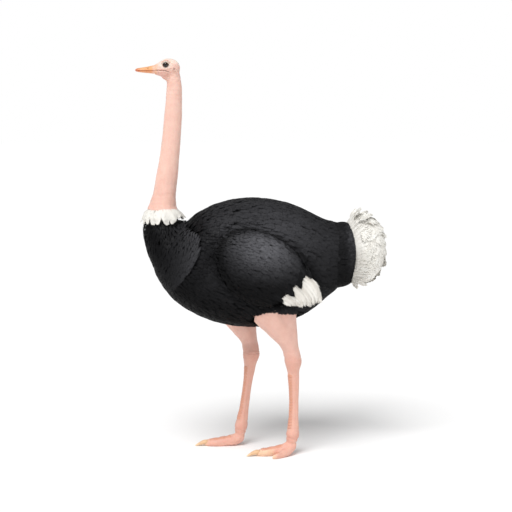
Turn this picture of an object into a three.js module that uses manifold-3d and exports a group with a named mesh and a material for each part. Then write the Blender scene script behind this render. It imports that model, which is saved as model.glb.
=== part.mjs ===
// Adult male ostrich (pink-necked form), life size, standing with its right foot a step ahead.
// Millimetres, +Z up. The bird faces -Y and its left side is +X. The floor is Z = 0.
//
// Every part is a closed solid that includes its plumage. Most are lofts: a list of stations gives the
// centre and the half sizes of the cross-section, and a smooth curve runs through them.
import * as THREE from "three";
import { mergeVertices } from "three/addons/utils/BufferGeometryUtils.js";
import Module from "manifold-3d";

const wasm = await Module();
wasm.setup();

// ---------------------------------------------------------------- driving sizes

const GAP = 0.3; // air between two parts that meet
const FRAME_SHIFT_Y = -86.9; // moves the hip-centred layout until its origin is under the middle of the bird

const HEAD = { napeY: -382, gapeZ: 2158, length: 247 };
const EYE = { forward: 80, up: 29, side: 26.5, radius: 22 };
const EAR = { forward: 37, up: 8, side: 44, radius: 7 };
const BILL_ROOT = 0.4; // station number at which the horn of the bill comes out of the skin
const GAPE_SLIT = 0.9; // height of the line between the two halves of the bill

// The neck axis: x, y, z of the centre, then half width across, half depth to the front and to the rear.
const NECK_STATIONS = [
  [0, -290, 985, 205, 150, 190],
  [0, -400, 1105, 174, 140, 180],
  [0, -464, 1210, 134, 122, 150],
  [0, -486, 1300, 108, 112, 122],
  [0, -488, 1352, 104, 108, 112],
  [0, -486, 1392, 86, 86, 90],
  [0, -480, 1440, 64, 66, 70],
  [0, -466, 1530, 54, 57, 60],
  [0, -448, 1650, 50, 53, 55],
  [0, -432, 1790, 47, 50, 51],
  [0, -421, 1920, 43, 46, 47],
  [0, -415, 2030, 39, 42, 43],
  [0, -417, 2100, 36, 38, 40],
  [0, -426, 2160, 33, 34, 37],
];
// Where the neck is parted, as station numbers of the list above.
const NECK_CUTS = { trunk: 2.55, collarLow: 3.75, collarHigh: 5.0, middle: 8.5, head: 12.2 };
const COLLAR = { flare: 1.1, lobes: 12, lobeDepth: 0.07 };

// The trunk with its plumage: y, top z, bottom z, half width.
const TRUNK_STATIONS = [
  [-542, 1120, 1110, 4],
  [-522, 1190, 1020, 102],
  [-458, 1252, 916, 184],
  [-382, 1310, 848, 234],
  [-280, 1382, 788, 264],
  [-160, 1436, 744, 276],
  [-20, 1460, 722, 272],
  [120, 1452, 726, 256],
  [250, 1420, 756, 228],
  [360, 1368, 812, 188],
  [445, 1324, 884, 146],
  [510, 1308, 938, 120],
  [565, 1306, 950, 110],
  [606, 1276, 984, 94],
  [628, 1145, 1135, 4],
];

// The folded wing lies along a line from the shoulder to the tip of the white plumes. Stations along it:
// share of the length, half height across the line, outer reach and inner reach from the line, in x.
const WING = { shoulder: [224, -262, 1208], tip: [232, 300, 958] };
const WING_STATIONS = [
  [0.0, 6, 4, 4],
  [0.05, 88, 46, 60],
  [0.18, 164, 82, 90],
  [0.38, 206, 98, 100],
  [0.6, 196, 92, 100],
  [0.8, 148, 72, 80],
  [0.94, 92, 46, 60],
  [1.0, 30, 20, 30],
];
// White plumes at the wing tip: a fan of drooping lobes, from the highest at the rear to the lowest in front.
const WING_PLUMES = {
  count: 6,
  first: { root: [272, 225, 1040], turnDeg: -45, length: 190 },
  last: { root: [284, 100, 968], turnDeg: -76, length: 96 },
  width: 72,
  thickness: 26,
  droop: 14,
  deeper: 5,
};

// White tail: y, top z, bottom z and half width of its core.
const TAIL_CORE_STATIONS = [
  [572, 1160, 1150, 4],
  [590, 1284, 996, 98],
  [640, 1340, 976, 130],
  [692, 1340, 962, 134],
  [740, 1286, 984, 106],
  [766, 1150, 1140, 4],
];
// Rings of plumes on the core: out is how far from the axis they start, as a share of the core's half sizes,
// and splay how far they point outwards for each step back.
const TAIL_RINGS = [
  { count: 3, out: 0.3, splay: 0.22, startDeg: 90, length: 128, width: 92 },
  { count: 8, out: 0.72, splay: 0.62, startDeg: 70, length: 136, width: 88 },
  { count: 10, out: 0.86, splay: 1.25, startDeg: 90, length: 118, width: 84 },
];
const TAIL_PLUMES = {
  centre: [0, 680, 1156],
  halfHeight: 170,
  halfWidth: 122,
  forwardPerSplay: 40,
  narrower: 0.8, // less splay to the sides than up and down
  thickness: 40,
  droop: 20,
};

// Each leg axis: x, y, z of the centre, then half size across, to the rear and to the front.
// The x values are for the left leg and change sign for the right.
const LEFT_LEG_STATIONS = [
  [128, 0, 985, 96, 170, 150],
  [136, 52, 888, 104, 168, 142],
  [134, 112, 780, 82, 118, 104],
  [128, 158, 690, 58, 72, 70],
  [124, 186, 618, 41, 46, 48],
  [122, 200, 562, 43, 47, 50],
  [120, 204, 526, 42, 44, 47],
  [118, 206, 466, 29, 32, 33],
  [116, 207, 350, 22, 26, 25],
  [115, 206, 220, 23, 27, 25],
  [115, 203, 134, 32, 36, 33],
  [115, 199, 92, 34, 36, 34],
  [115, 193, 62, 26, 26, 24],
];
const RIGHT_LEG_STATIONS = [
  [128, -150, 975, 96, 165, 150],
  [136, -118, 880, 104, 160, 142],
  [134, -72, 772, 82, 112, 104],
  [128, -34, 688, 58, 72, 70],
  [124, -10, 618, 41, 46, 48],
  [122, 1, 562, 43, 47, 50],
  [120, 0, 526, 42, 44, 47],
  [118, -8, 466, 29, 32, 33],
  [116, -24, 350, 22, 26, 25],
  [115, -43, 220, 23, 27, 25],
  [115, -58, 134, 32, 36, 33],
  [115, -64, 92, 34, 36, 34],
  [115, -70, 62, 26, 26, 24],
];
const LEGS_REARWARD = 30; // moves both legs back, so that the toes stand under the bird's weight
const LEG_CUTS = { shank: 3.5, tarsus: 5.5, toes: 11.2 };

// A toe: forward of the ankle of the toes, height of its middle, half width, half height. Below the floor
// it is flattened, which makes the sole.
const INNER_TOE_STATIONS = [
  [-27, 56, 8, 8],
  [-16, 54, 29, 30],
  [10, 45, 33, 36],
  [38, 32, 32, 34],
  [80, 24, 31, 30],
  [122, 20, 31, 27],
  [158, 19, 28, 24],
  [186, 18, 22, 20],
  [206, 17, 14, 13],
  [216, 15, 3, 3],
];
const OUTER_TOE_STATIONS = [
  [-4, 46, 5, 5],
  [8, 43, 22, 25],
  [36, 28, 23, 27],
  [66, 20, 23, 24],
  [98, 17, 22, 21],
  [128, 15, 18, 17],
  [146, 12, 11, 12],
  [154, 10, 3, 3],
];
// The nail of the inner toe: forward, height of the middle, half width, half height.
const CLAW_STATIONS = [
  [188, 22, 5, 5],
  [192, 24, 15, 13],
  [208, 23, 15.5, 14],
  [226, 18, 13, 12],
  [244, 11, 9, 8],
  [258, 5, 4, 4],
  [263, 3, 1, 1],
];
const FEET_APART = 230;
const FEET = {
  left: { y: 197, toesTurnDeg: 3, outerSplayDeg: 27, outerOffset: 15 },
  right: { y: -66, toesTurnDeg: 4, outerSplayDeg: 27, outerOffset: 15 },
};

// The head from the nape forward: distance, top and bottom above the line of the gape, half width.
const HEAD_STATIONS = [
  [0, 18, 12, 2],
  [8, 42, -16, 24],
  [26, 58, -32, 36],
  [50, 66, -38, 42],
  [76, 66, -37, 45],
  [98, 58, -33, 41],
  [118, 44, -27, 35],
  [136, 33, -21, 31],
  [150, 27, -17, 29],
];
const BILL_STATIONS = [
  [128, 33, -19.5, 30],
  [150, 27, -16.5, 29],
  [176, 21, -14, 27],
  [202, 16.5, -11.5, 24.5],
  [224, 13.5, -9, 20.5],
  [238, 10, -6, 14.5],
  [247, 1.2, -1.2, 3],
];

// ---------------------------------------------------------------- making lofts

// Sides of each kind of cross-section, and how many rings a loft has for each span of its station list.
const AROUND = {
  trunk: 24, neck: 16, leg: 14, head: 18, bill: 12, toe: 10, lobe: 5, claw: 8, wing: 18, tail: 14,
};
const RINGS = {
  trunk: 1.3, neck: 1.4, collar: 3, leg: 1.4, head: 1.5, bill: 2, toe: 1.15, wing: 1.3, tail: 1,
};
const SQUARENESS = { trunk: 2.25, head: 2.1, bill: 2.4, toe: 2.2 }; // exponent: 2 is an ellipse
const LEAST_RING = 0.5; // half width of the smallest ring, at the ends of a loft
const PLUME_WIDTHS = [0.6, 1.0, 0.95, 0.45]; // of a plume lobe, from root to tip
const BALL = { eye: [12, 8], ear: [8, 6] }; // segments round and up

/** A smooth curve through rows of numbers: at(station number) gives a row. */
function through(rows) {
  const columns = rows[0].length;
  const curves = [];
  for (let c = 0; c < columns; c += 3) {
    const points = rows.map((row) => new THREE.Vector3(row[c] ?? 0, row[c + 1] ?? 0, row[c + 2] ?? 0));
    curves.push(new THREE.CatmullRomCurve3(points, false, "catmullrom", 0.5));
  }
  return (station) => {
    const t = THREE.MathUtils.clamp(station / (rows.length - 1), 0, 1);
    return curves.flatMap((curve) => curve.getPoint(t).toArray()).slice(0, columns);
  };
}

/** Station numbers from one end to the other, with about perSpan steps for each span. */
function steps(from, to, perSpan) {
  const count = Math.max(1, Math.round((to - from) * perSpan));
  return Array.from({ length: count + 1 }, (_, i) => from + ((to - from) * i) / count);
}

/** One cross-section: a rounded outline in the plane of two directions, with its own reach each way. */
function ring({ centre, across, upward, half, up, down, count, squareness = 2, wave = () => 1 }) {
  const points = [];
  for (let i = 0; i < count; i++) {
    const angle = (2 * Math.PI * i) / count;
    const c = Math.cos(angle);
    const s = Math.sin(angle);
    const roundness = (Math.abs(c) ** squareness + Math.abs(s) ** squareness) ** (1 / squareness);
    const bulge = wave(angle) / roundness;
    points.push(
      centre
        .clone()
        .addScaledVector(across, half * c * bulge)
        .addScaledVector(upward, (s > 0 ? up : down) * s * bulge),
    );
  }
  return points;
}

/** A closed skin over a row of rings, with a fan to the middle of the first and the last ring. */
function skinOver(rings) {
  const count = rings[0].length;
  const middle = (points) =>
    points.reduce((sum, p) => sum.add(p), new THREE.Vector3()).divideScalar(points.length);
  const vertices = [...rings.flat(), middle(rings[0]), middle(rings.at(-1))];
  const index = [];
  for (let r = 0; r + 1 < rings.length; r++) {
    for (let i = 0; i < count; i++) {
      const a = r * count + i;
      const b = r * count + ((i + 1) % count);
      index.push(a, b, a + count, b, b + count, a + count);
    }
  }
  const last = (rings.length - 1) * count;
  const firstPole = rings.length * count;
  for (let i = 0; i < count; i++) {
    const next = (i + 1) % count;
    index.push(firstPole, next, i);
    index.push(firstPole + 1, last + i, last + next);
  }
  return solidFrom(new Float32Array(vertices.flatMap((v) => v.toArray())), new Uint32Array(index));
}

/** A manifold solid from plain arrays, turned the right way out. */
function solidFrom(positions, index) {
  const made = new wasm.Manifold(new wasm.Mesh({ numProp: 3, vertProperties: positions, triVerts: index }));
  if (made.volume() > 0) return made;
  const turned = index.slice();
  for (let i = 0; i < turned.length; i += 3) [turned[i + 1], turned[i + 2]] = [turned[i + 2], turned[i + 1]];
  return new wasm.Manifold(new wasm.Mesh({ numProp: 3, vertProperties: positions, triVerts: turned }));
}

/** A manifold solid from a three.js geometry. */
function solidOf(geometry) {
  const bare = geometry.clone();
  bare.deleteAttribute("normal");
  bare.deleteAttribute("uv");
  const merged = mergeVertices(bare, 1e-4);
  return solidFrom(merged.attributes.position.array, new Uint32Array(merged.index.array));
}

/** Loft with upright rings that face along Y. Rows: y, top, bottom, half width. */
function uprightLoft(rows, { count, perSpan, squareness = 2, grow = 0, from = 0 }) {
  const at = through(rows);
  const rings = steps(from, rows.length - 1, perSpan).map((station) => {
    const [y, top, bottom, half] = at(station);
    const reach = Math.max((top - bottom) / 2 + grow, LEAST_RING);
    return ring({
      centre: new THREE.Vector3(0, y, (top + bottom) / 2),
      across: new THREE.Vector3(1, 0, 0),
      upward: new THREE.Vector3(0, 0, 1),
      half: Math.max(half, LEAST_RING) + grow,
      up: reach,
      down: reach,
      count,
      squareness,
    });
  });
  return skinOver(rings);
}

/**
 * Loft whose rings stand square to a path. Rows: x, y, z, half width across, then the reach to either side.
 * The cut shortens it a little at its two ends.
 */
function pathLoft(rows, { count, perSpan, grow = 0, from, to, cut = [0, 0], wave }) {
  const nearby = 0.02; // share of a span, to find which way the path runs
  const at = through(rows);
  const place = (station) => new THREE.Vector3(...at(station).slice(0, 3));
  const stations = steps(from, to, perSpan);
  const rings = stations.map((station, i) => {
    const [, , , half, up, down] = at(station);
    const ahead = place(Math.min(station + nearby, rows.length - 1));
    const behind = place(Math.max(station - nearby, 0));
    const along = ahead.sub(behind).normalize();
    const across = new THREE.Vector3(1, 0, 0).addScaledVector(along, -along.x).normalize();
    const upward = new THREE.Vector3().crossVectors(across, along).normalize();
    const inset = (i === 0 ? cut[0] : 0) - (i === stations.length - 1 ? cut[1] : 0);
    return ring({
      centre: place(station).addScaledVector(along, inset),
      across,
      upward,
      half: half + grow,
      up: up + grow,
      down: down + grow,
      count,
      wave,
    });
  });
  return skinOver(rings);
}

/** A drooping plume lobe: from its root along a direction, bending down towards the tip. */
function plume({ root, direction, length, width, thickness, droop, flat }) {
  const rings = PLUME_WIDTHS.map((share, i) => {
    const t = i / (PLUME_WIDTHS.length - 1);
    const centre = new THREE.Vector3(...root).addScaledVector(direction, length * t);
    centre.z -= droop * t * t;
    const along = direction.clone().multiplyScalar(length);
    along.z -= 2 * droop * t;
    along.normalize();
    const upward = flat.clone().addScaledVector(along, -flat.dot(along)).normalize();
    const across = new THREE.Vector3().crossVectors(along, upward).normalize();
    const half = (width / 2) * share;
    const reach = (thickness / 2) * share;
    return ring({ centre, across, upward, half, up: reach, down: reach, count: AROUND.lobe });
  });
  return skinOver(rings);
}

const BOTH_ENDS = [GAP / 2, GAP / 2];

const union = (solids) => solids.reduce((all, one) => all.add(one));

// ---------------------------------------------------------------- trunk and neck

function trunkLoft(grow) {
  const squareness = SQUARENESS.trunk;
  return uprightLoft(TRUNK_STATIONS, { count: AROUND.trunk, perSpan: RINGS.trunk, squareness, grow });
}

function neckLoft(from, to, options = {}) {
  return pathLoft(NECK_STATIONS, { count: AROUND.neck, from, to, perSpan: RINGS.neck, ...options });
}

function makeTrunk() {
  const breast = neckLoft(0, NECK_CUTS.trunk, { cut: [0, GAP / 2] });
  return trunkLoft(0).add(breast);
}

function makeNeckBase() {
  return neckLoft(NECK_CUTS.trunk, NECK_CUTS.collarLow, { cut: BOTH_ENDS }).subtract(trunkLoft(GAP));
}

/** The ring of short white feathers, with soft lobes round it. */
function makeCollar() {
  const wave = (angle) => COLLAR.flare * (1 + COLLAR.lobeDepth * Math.cos(COLLAR.lobes * angle));
  const { collarLow, collarHigh } = NECK_CUTS;
  const count = 2 * COLLAR.lobes;
  return neckLoft(collarLow, collarHigh, { cut: BOTH_ENDS, wave, count, perSpan: RINGS.collar });
}

// ---------------------------------------------------------------- head

const headY = (forward) => HEAD.napeY - forward;

/** Rows of the head or bill in the layout's own Y and Z. */
function headRows(rows) {
  const { gapeZ } = HEAD;
  return rows.map(([forward, top, bottom, half]) => [headY(forward), gapeZ + top, gapeZ + bottom, half]);
}

/** A ball on one side of the head, for an eye or the hollow of an ear. */
function headBall({ forward, up, side, radius }, onSide, [round, high], grow = 0) {
  const ball = new THREE.SphereGeometry(radius + grow, round, high);
  return solidOf(ball.translate(onSide * side, headY(forward), HEAD.gapeZ + up));
}

const eyeball = (side, grow) => headBall(EYE, side, BALL.eye, grow);
const earHollow = (side) => headBall(EAR, side, BALL.ear);

function makeHead() {
  const neckTop = neckLoft(NECK_CUTS.head, NECK_STATIONS.length - 1, { cut: [GAP / 2, 0] });
  const { head: squareness } = SQUARENESS;
  const skull = uprightLoft(headRows(HEAD_STATIONS), { count: AROUND.head, perSpan: RINGS.head, squareness });
  return skull
    .add(neckTop)
    .subtract(billLoft(GAP))
    .subtract(eyeball(1, GAP))
    .subtract(eyeball(-1, GAP))
    .subtract(earHollow(1))
    .subtract(earHollow(-1));
}

/** The whole bill. Its first half span is left out, where the skin of the face covers the horn. */
function billLoft(grow) {
  const shape = { count: AROUND.bill, perSpan: RINGS.bill, squareness: SQUARENESS.bill };
  return uprightLoft(headRows(BILL_STATIONS), { ...shape, grow, from: BILL_ROOT });
}

/** Upper (1) or lower (-1) half of the bill: the whole bill above or below the gape. */
function makeBillHalf(side) {
  const size = 2 * HEAD.length;
  const slab = new THREE.BoxGeometry(size, size, size);
  slab.translate(0, headY(HEAD.length), HEAD.gapeZ + (side * (size + GAPE_SLIT)) / 2);
  return billLoft(0).intersect(solidOf(slab));
}

// ---------------------------------------------------------------- wings and tail

/** The rounded mass of the folded wing, before its white plumes are added. */
function wingMass(side, grow) {
  const shoulder = new THREE.Vector3(...WING.shoulder);
  const tip = new THREE.Vector3(...WING.tip);
  const along = tip.clone().sub(shoulder);
  const direction = along.clone().normalize();
  const outward = new THREE.Vector3(1, 0, 0).addScaledVector(direction, -direction.x).normalize();
  const across = new THREE.Vector3().crossVectors(direction, outward).normalize();
  const at = through(WING_STATIONS);
  const rings = steps(0, WING_STATIONS.length - 1, RINGS.wing).map((station) => {
    const [share, half, outer, inner] = at(station);
    return ring({
      centre: shoulder.clone().addScaledVector(along, share),
      across,
      upward: outward,
      half: half + grow,
      up: outer + grow,
      down: inner + grow,
      count: AROUND.wing,
    }).map((p) => p.setX(side * p.x));
  });
  return skinOver(rings);
}

/** White plumes that hang from the wing tip, spread as a fan. Every second one lies a little deeper. */
function wingPlumes(side) {
  const { count, first, last, width, thickness, droop, deeper } = WING_PLUMES;
  const { lerp, degToRad } = THREE.MathUtils;
  return Array.from({ length: count }, (_, i) => {
    const share = i / (count - 1);
    const angle = degToRad(lerp(first.turnDeg, last.turnDeg, share));
    const [x, y, z] = first.root.map((place, axis) => lerp(place, last.root[axis], share));
    return plume({
      root: [side * (x - deeper * (i % 2)), y, z],
      direction: new THREE.Vector3(0, Math.cos(angle), Math.sin(angle)),
      length: lerp(first.length, last.length, share),
      width,
      thickness,
      droop,
      flat: new THREE.Vector3(1, 0, 0),
    });
  });
}

function makeWing(side) {
  return union([wingMass(side, 0), ...wingPlumes(side)]).subtract(trunkLoft(GAP));
}

/** The tail: a soft core and rings of white plumes that point back and outwards. */
function makeTail() {
  const core = uprightLoft(TAIL_CORE_STATIONS, { count: AROUND.tail, perSpan: RINGS.tail });
  const { centre, halfHeight, halfWidth, forwardPerSplay, narrower, thickness, droop } = TAIL_PLUMES;
  const plumes = TAIL_RINGS.flatMap(({ count, out, splay, startDeg, length, width }) =>
    Array.from({ length: count }, (_, i) => {
      const angle = THREE.MathUtils.degToRad(startDeg) + (2 * Math.PI * i) / count;
      const [outX, outZ] = [Math.cos(angle), Math.sin(angle)];
      const [x, y, z] = centre;
      return plume({
        root: [x + halfWidth * out * outX, y - forwardPerSplay * splay, z + halfHeight * out * outZ],
        direction: new THREE.Vector3(splay * outX * narrower, 1, splay * outZ).normalize(),
        length,
        width,
        thickness,
        droop,
        flat: new THREE.Vector3(outX, 0, outZ),
      });
    }),
  );
  return union([core, ...plumes]).subtract(trunkLoft(GAP));
}

// ---------------------------------------------------------------- legs and feet

function legLoft(rows, from, to, options = {}) {
  return pathLoft(rows, { count: AROUND.leg, from, to, perSpan: RINGS.leg, cut: BOTH_ENDS, ...options });
}

/** The foot's own frame: its origin on the floor under the joint of the toes, and its way forward. */
function footPlacement(side, foot) {
  const turn = THREE.MathUtils.degToRad(foot.toesTurnDeg) * side;
  return { origin: new THREE.Vector3(side * FEET_APART / 2, foot.y + LEGS_REARWARD, 0), turn };
}

/** A toe or claw: upright rings along a line that leaves the foot at an angle, flattened at the floor. */
function toeLoft(rows, { origin, turn, side = 1, count, offset = 0, grow = 0 }) {
  const at = through(rows);
  const forward = new THREE.Vector3(Math.sin(turn), -Math.cos(turn), 0);
  const across = new THREE.Vector3(Math.cos(turn), Math.sin(turn), 0);
  const rings = steps(0, rows.length - 1, RINGS.toe).map((station) => {
    const [ahead, height, half, halfHeight] = at(station);
    const centre = origin.clone().addScaledVector(forward, ahead).addScaledVector(across, side * offset);
    centre.z = height;
    return ring({
      centre,
      across,
      upward: new THREE.Vector3(0, 0, 1),
      half: Math.max(half, LEAST_RING) + grow,
      up: Math.max(halfHeight, LEAST_RING) + grow,
      down: Math.max(halfHeight, LEAST_RING) + grow,
      count,
      squareness: SQUARENESS.toe,
    }).map((p) => p.setZ(Math.max(p.z, -grow)));
  });
  return skinOver(rings);
}

/** The largest separate piece of a solid. */
const largest = (solid) => solid.decompose().reduce((a, b) => (a.volume() > b.volume() ? a : b));

function makeLeg(side, rows, foot) {
  const { origin, turn } = footPlacement(side, foot);
  const outerTurn = turn + THREE.MathUtils.degToRad(foot.outerSplayDeg) * side;
  const stations = rows.map(([x, y, ...rest]) => [side * x, y + LEGS_REARWARD, ...rest]);
  const ankleOfToes = (grow) => legLoft(stations, LEG_CUTS.toes, rows.length - 1, { grow });
  const tarsus = (grow) => legLoft(stations, LEG_CUTS.tarsus, LEG_CUTS.toes, { grow });
  const innerToe = (grow) => toeLoft(INNER_TOE_STATIONS, { origin, turn, count: AROUND.toe, grow });
  const claw = (grow) => toeLoft(CLAW_STATIONS, { origin, turn, count: AROUND.claw, grow });
  const outerToe = toeLoft(OUTER_TOE_STATIONS, {
    origin,
    turn: outerTurn,
    side,
    count: AROUND.toe,
    offset: foot.outerOffset,
  });
  const thigh = legLoft(stations, 0, LEG_CUTS.shank).subtract(trunkLoft(GAP)).subtract(wingMass(side, GAP));
  const besideInner = outerToe.subtract(innerToe(GAP)).subtract(ankleOfToes(GAP)).subtract(tarsus(GAP));
  return {
    thigh: largest(thigh),
    shank: legLoft(stations, LEG_CUTS.shank, LEG_CUTS.tarsus),
    tarsus: tarsus(0),
    toe_inner: innerToe(0).add(ankleOfToes(0)).subtract(claw(GAP)).subtract(tarsus(GAP)),
    toe_outer: largest(besideInner),
    claw: claw(0),
  };
}

// ---------------------------------------------------------------- materials and scene

const COLOURS = {
  skin: new THREE.MeshStandardMaterial({ color: 0xe9bfa9, roughness: 0.6, metalness: 0 }),
  legSkin: new THREE.MeshStandardMaterial({ color: 0xdba68f, roughness: 0.6, metalness: 0 }),
  black: new THREE.MeshStandardMaterial({ color: 0x1d1c1e, roughness: 0.75, metalness: 0 }),
  white: new THREE.MeshStandardMaterial({ color: 0xf1efe8, roughness: 0.8, metalness: 0 }),
  horn: new THREE.MeshStandardMaterial({ color: 0xe39a66, roughness: 0.45, metalness: 0 }),
  nail: new THREE.MeshStandardMaterial({ color: 0xd9b48c, roughness: 0.4, metalness: 0 }),
  eye: new THREE.MeshStandardMaterial({ color: 0x1a0f0a, roughness: 0.08, metalness: 0 }),
};

const bird = new THREE.Group();
bird.position.y = FRAME_SHIFT_Y;

/** Adds one named part of the bird from its solid. */
function addPart(name, solid, material) {
  const mesh = solid.getMesh();
  const geometry = new THREE.BufferGeometry();
  geometry.setAttribute("position", new THREE.BufferAttribute(new Float32Array(mesh.vertProperties), 3));
  geometry.setIndex(new THREE.BufferAttribute(new Uint32Array(mesh.triVerts), 1));
  geometry.computeVertexNormals();
  const part = new THREE.Mesh(geometry, material);
  part.name = name;
  bird.add(part);
}

addPart("trunk", makeTrunk(), COLOURS.black);
addPart("neck_base", makeNeckBase(), COLOURS.black);
addPart("collar", makeCollar(), COLOURS.white);
addPart("neck_lower", neckLoft(NECK_CUTS.collarHigh, NECK_CUTS.middle, { cut: BOTH_ENDS }), COLOURS.skin);
addPart("neck_upper", neckLoft(NECK_CUTS.middle, NECK_CUTS.head, { cut: BOTH_ENDS }), COLOURS.skin);
addPart("head", makeHead(), COLOURS.skin);
addPart("bill_upper", makeBillHalf(1), COLOURS.horn);
addPart("bill_lower", makeBillHalf(-1), COLOURS.horn);
addPart("tail", makeTail(), COLOURS.white);

const SIDES = [
  { side: 1, mark: "L", rows: LEFT_LEG_STATIONS, foot: FEET.left },
  { side: -1, mark: "R", rows: RIGHT_LEG_STATIONS, foot: FEET.right },
];
for (const { side, mark, rows, foot } of SIDES) {
  addPart(`eye_${mark}`, eyeball(side, 0), COLOURS.eye);
  addPart(`wing_${mark}`, makeWing(side), COLOURS.black);
  const leg = makeLeg(side, rows, foot);
  for (const [part, solid] of Object.entries(leg)) {
    addPart(`${part}_${mark}`, solid, part === "claw" ? COLOURS.nail : COLOURS.legSkin);
  }
}

export default bird;
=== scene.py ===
"""Skin, horn, eyes and plumage of a life-size standing male ostrich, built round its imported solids.

Metres, +Z up. The bird faces -Y and its left side is +X. Run as a script, it makes every piece in order.
"""

import math

import bpy
import numpy as np
from bpy.props import FloatProperty, FloatVectorProperty, IntProperty, PointerProperty
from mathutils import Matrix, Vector
from mathutils.bvhtree import BVHTree


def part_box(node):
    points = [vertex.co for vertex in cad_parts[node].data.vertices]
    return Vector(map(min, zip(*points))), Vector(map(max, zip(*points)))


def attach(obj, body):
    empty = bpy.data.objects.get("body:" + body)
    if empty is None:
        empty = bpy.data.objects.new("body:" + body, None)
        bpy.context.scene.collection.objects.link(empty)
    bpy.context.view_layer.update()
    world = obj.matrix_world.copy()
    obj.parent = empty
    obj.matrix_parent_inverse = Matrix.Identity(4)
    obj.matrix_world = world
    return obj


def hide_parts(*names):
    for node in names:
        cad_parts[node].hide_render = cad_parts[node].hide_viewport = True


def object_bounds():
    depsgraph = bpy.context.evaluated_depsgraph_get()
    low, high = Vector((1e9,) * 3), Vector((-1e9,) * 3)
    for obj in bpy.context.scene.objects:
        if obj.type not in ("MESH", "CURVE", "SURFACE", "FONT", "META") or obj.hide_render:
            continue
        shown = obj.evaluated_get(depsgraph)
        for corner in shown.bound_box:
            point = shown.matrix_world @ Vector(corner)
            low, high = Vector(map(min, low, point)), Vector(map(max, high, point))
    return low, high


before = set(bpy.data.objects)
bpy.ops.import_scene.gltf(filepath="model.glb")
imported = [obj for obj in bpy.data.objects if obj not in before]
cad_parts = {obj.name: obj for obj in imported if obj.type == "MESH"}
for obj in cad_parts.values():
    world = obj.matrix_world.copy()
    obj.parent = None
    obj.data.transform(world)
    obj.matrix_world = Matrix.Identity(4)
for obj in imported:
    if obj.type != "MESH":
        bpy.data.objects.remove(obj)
CAD_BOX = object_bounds()

bl_info = {
    "name": "Ostrich",
    "version": (1, 0, 0),
    "blender": (4, 5, 0),
    "location": "3D View > Sidebar > Ostrich",
    "description": "Skin, horn, eyes and plumage of a life-size standing male ostrich",
    "category": "Object",
}

SIDES = (("L", 1.0), ("R", -1.0))
BODY = "root"
LEG_PARTS = ("thigh", "shank", "tarsus", "toe_inner", "toe_outer")
MERGE = 0.0004  # how far touching solids are swollen, so that one skin covers them


# ------------------------------------------------------------------ settings


def srgb(red, green, blue):
    """Linear colour from the usual 0 to 255 values."""

    def linear(value):
        """One channel."""
        share = value / 255.0
        return share / 12.92 if share <= 0.04045 else ((share + 0.055) / 1.055) ** 2.4

    return (linear(red), linear(green), linear(blue), 1.0)


def length_setting(name, description, default):
    """A length on the panel."""
    return FloatProperty(name=name, description=description, default=default, unit="LENGTH", min=0.0)


def colour_setting(name, description, default):
    """A colour on the panel."""
    return FloatVectorProperty(
        name=name, description=description, default=default, subtype="COLOR", size=4, min=0.0, max=1.0
    )


def angle_setting(name, description, degrees):
    """An angle on the panel, given here in degrees."""
    return FloatProperty(
        name=name, description=description, default=math.radians(degrees), unit="ROTATION", subtype="ANGLE"
    )


class OstrichSizes(bpy.types.PropertyGroup):
    """Sizes of the skin, the horn and the plumage."""

    coat_depth: length_setting("Coat depth", "From the skin of the trunk out to the feather tips", 0.05)
    skin_grain: length_setting("Skin grain", "Size of the faces of the bare skin", 0.0044)
    core_grain: length_setting("Core grain", "Size of the faces of the skin under the plumage", 0.017)
    lid_thickness: length_setting("Lid thickness", "How far the eyelids stand off the eyeball", 0.0026)
    lash_length: length_setting("Lash length", "Length of the longest lashes", 0.017)
    body_plume: length_setting("Body plume", "Length of a plume in the middle of the back", 0.115)
    wing_plume: length_setting("Wing plume", "Length of a covert near the wing tip", 0.13)
    collar_feather: length_setting("Collar feather", "Length of the white feathers of the collar", 0.042)
    tail_depth: length_setting("Tail depth", "From the skin of the tail out to its plumes", 0.016)
    tail_plume: length_setting("Tail plume", "Half width of the white plumes of the tail", 0.0135)
    down_length: length_setting("Down length", "Length of the sparse down on head and neck", 0.007)
    scute_height: length_setting("Scute height", "Height of one horny plate on the front of the leg", 0.0165)
    seed: IntProperty(name="Seed", description="Start of every random draw", default=11, min=0)


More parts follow.
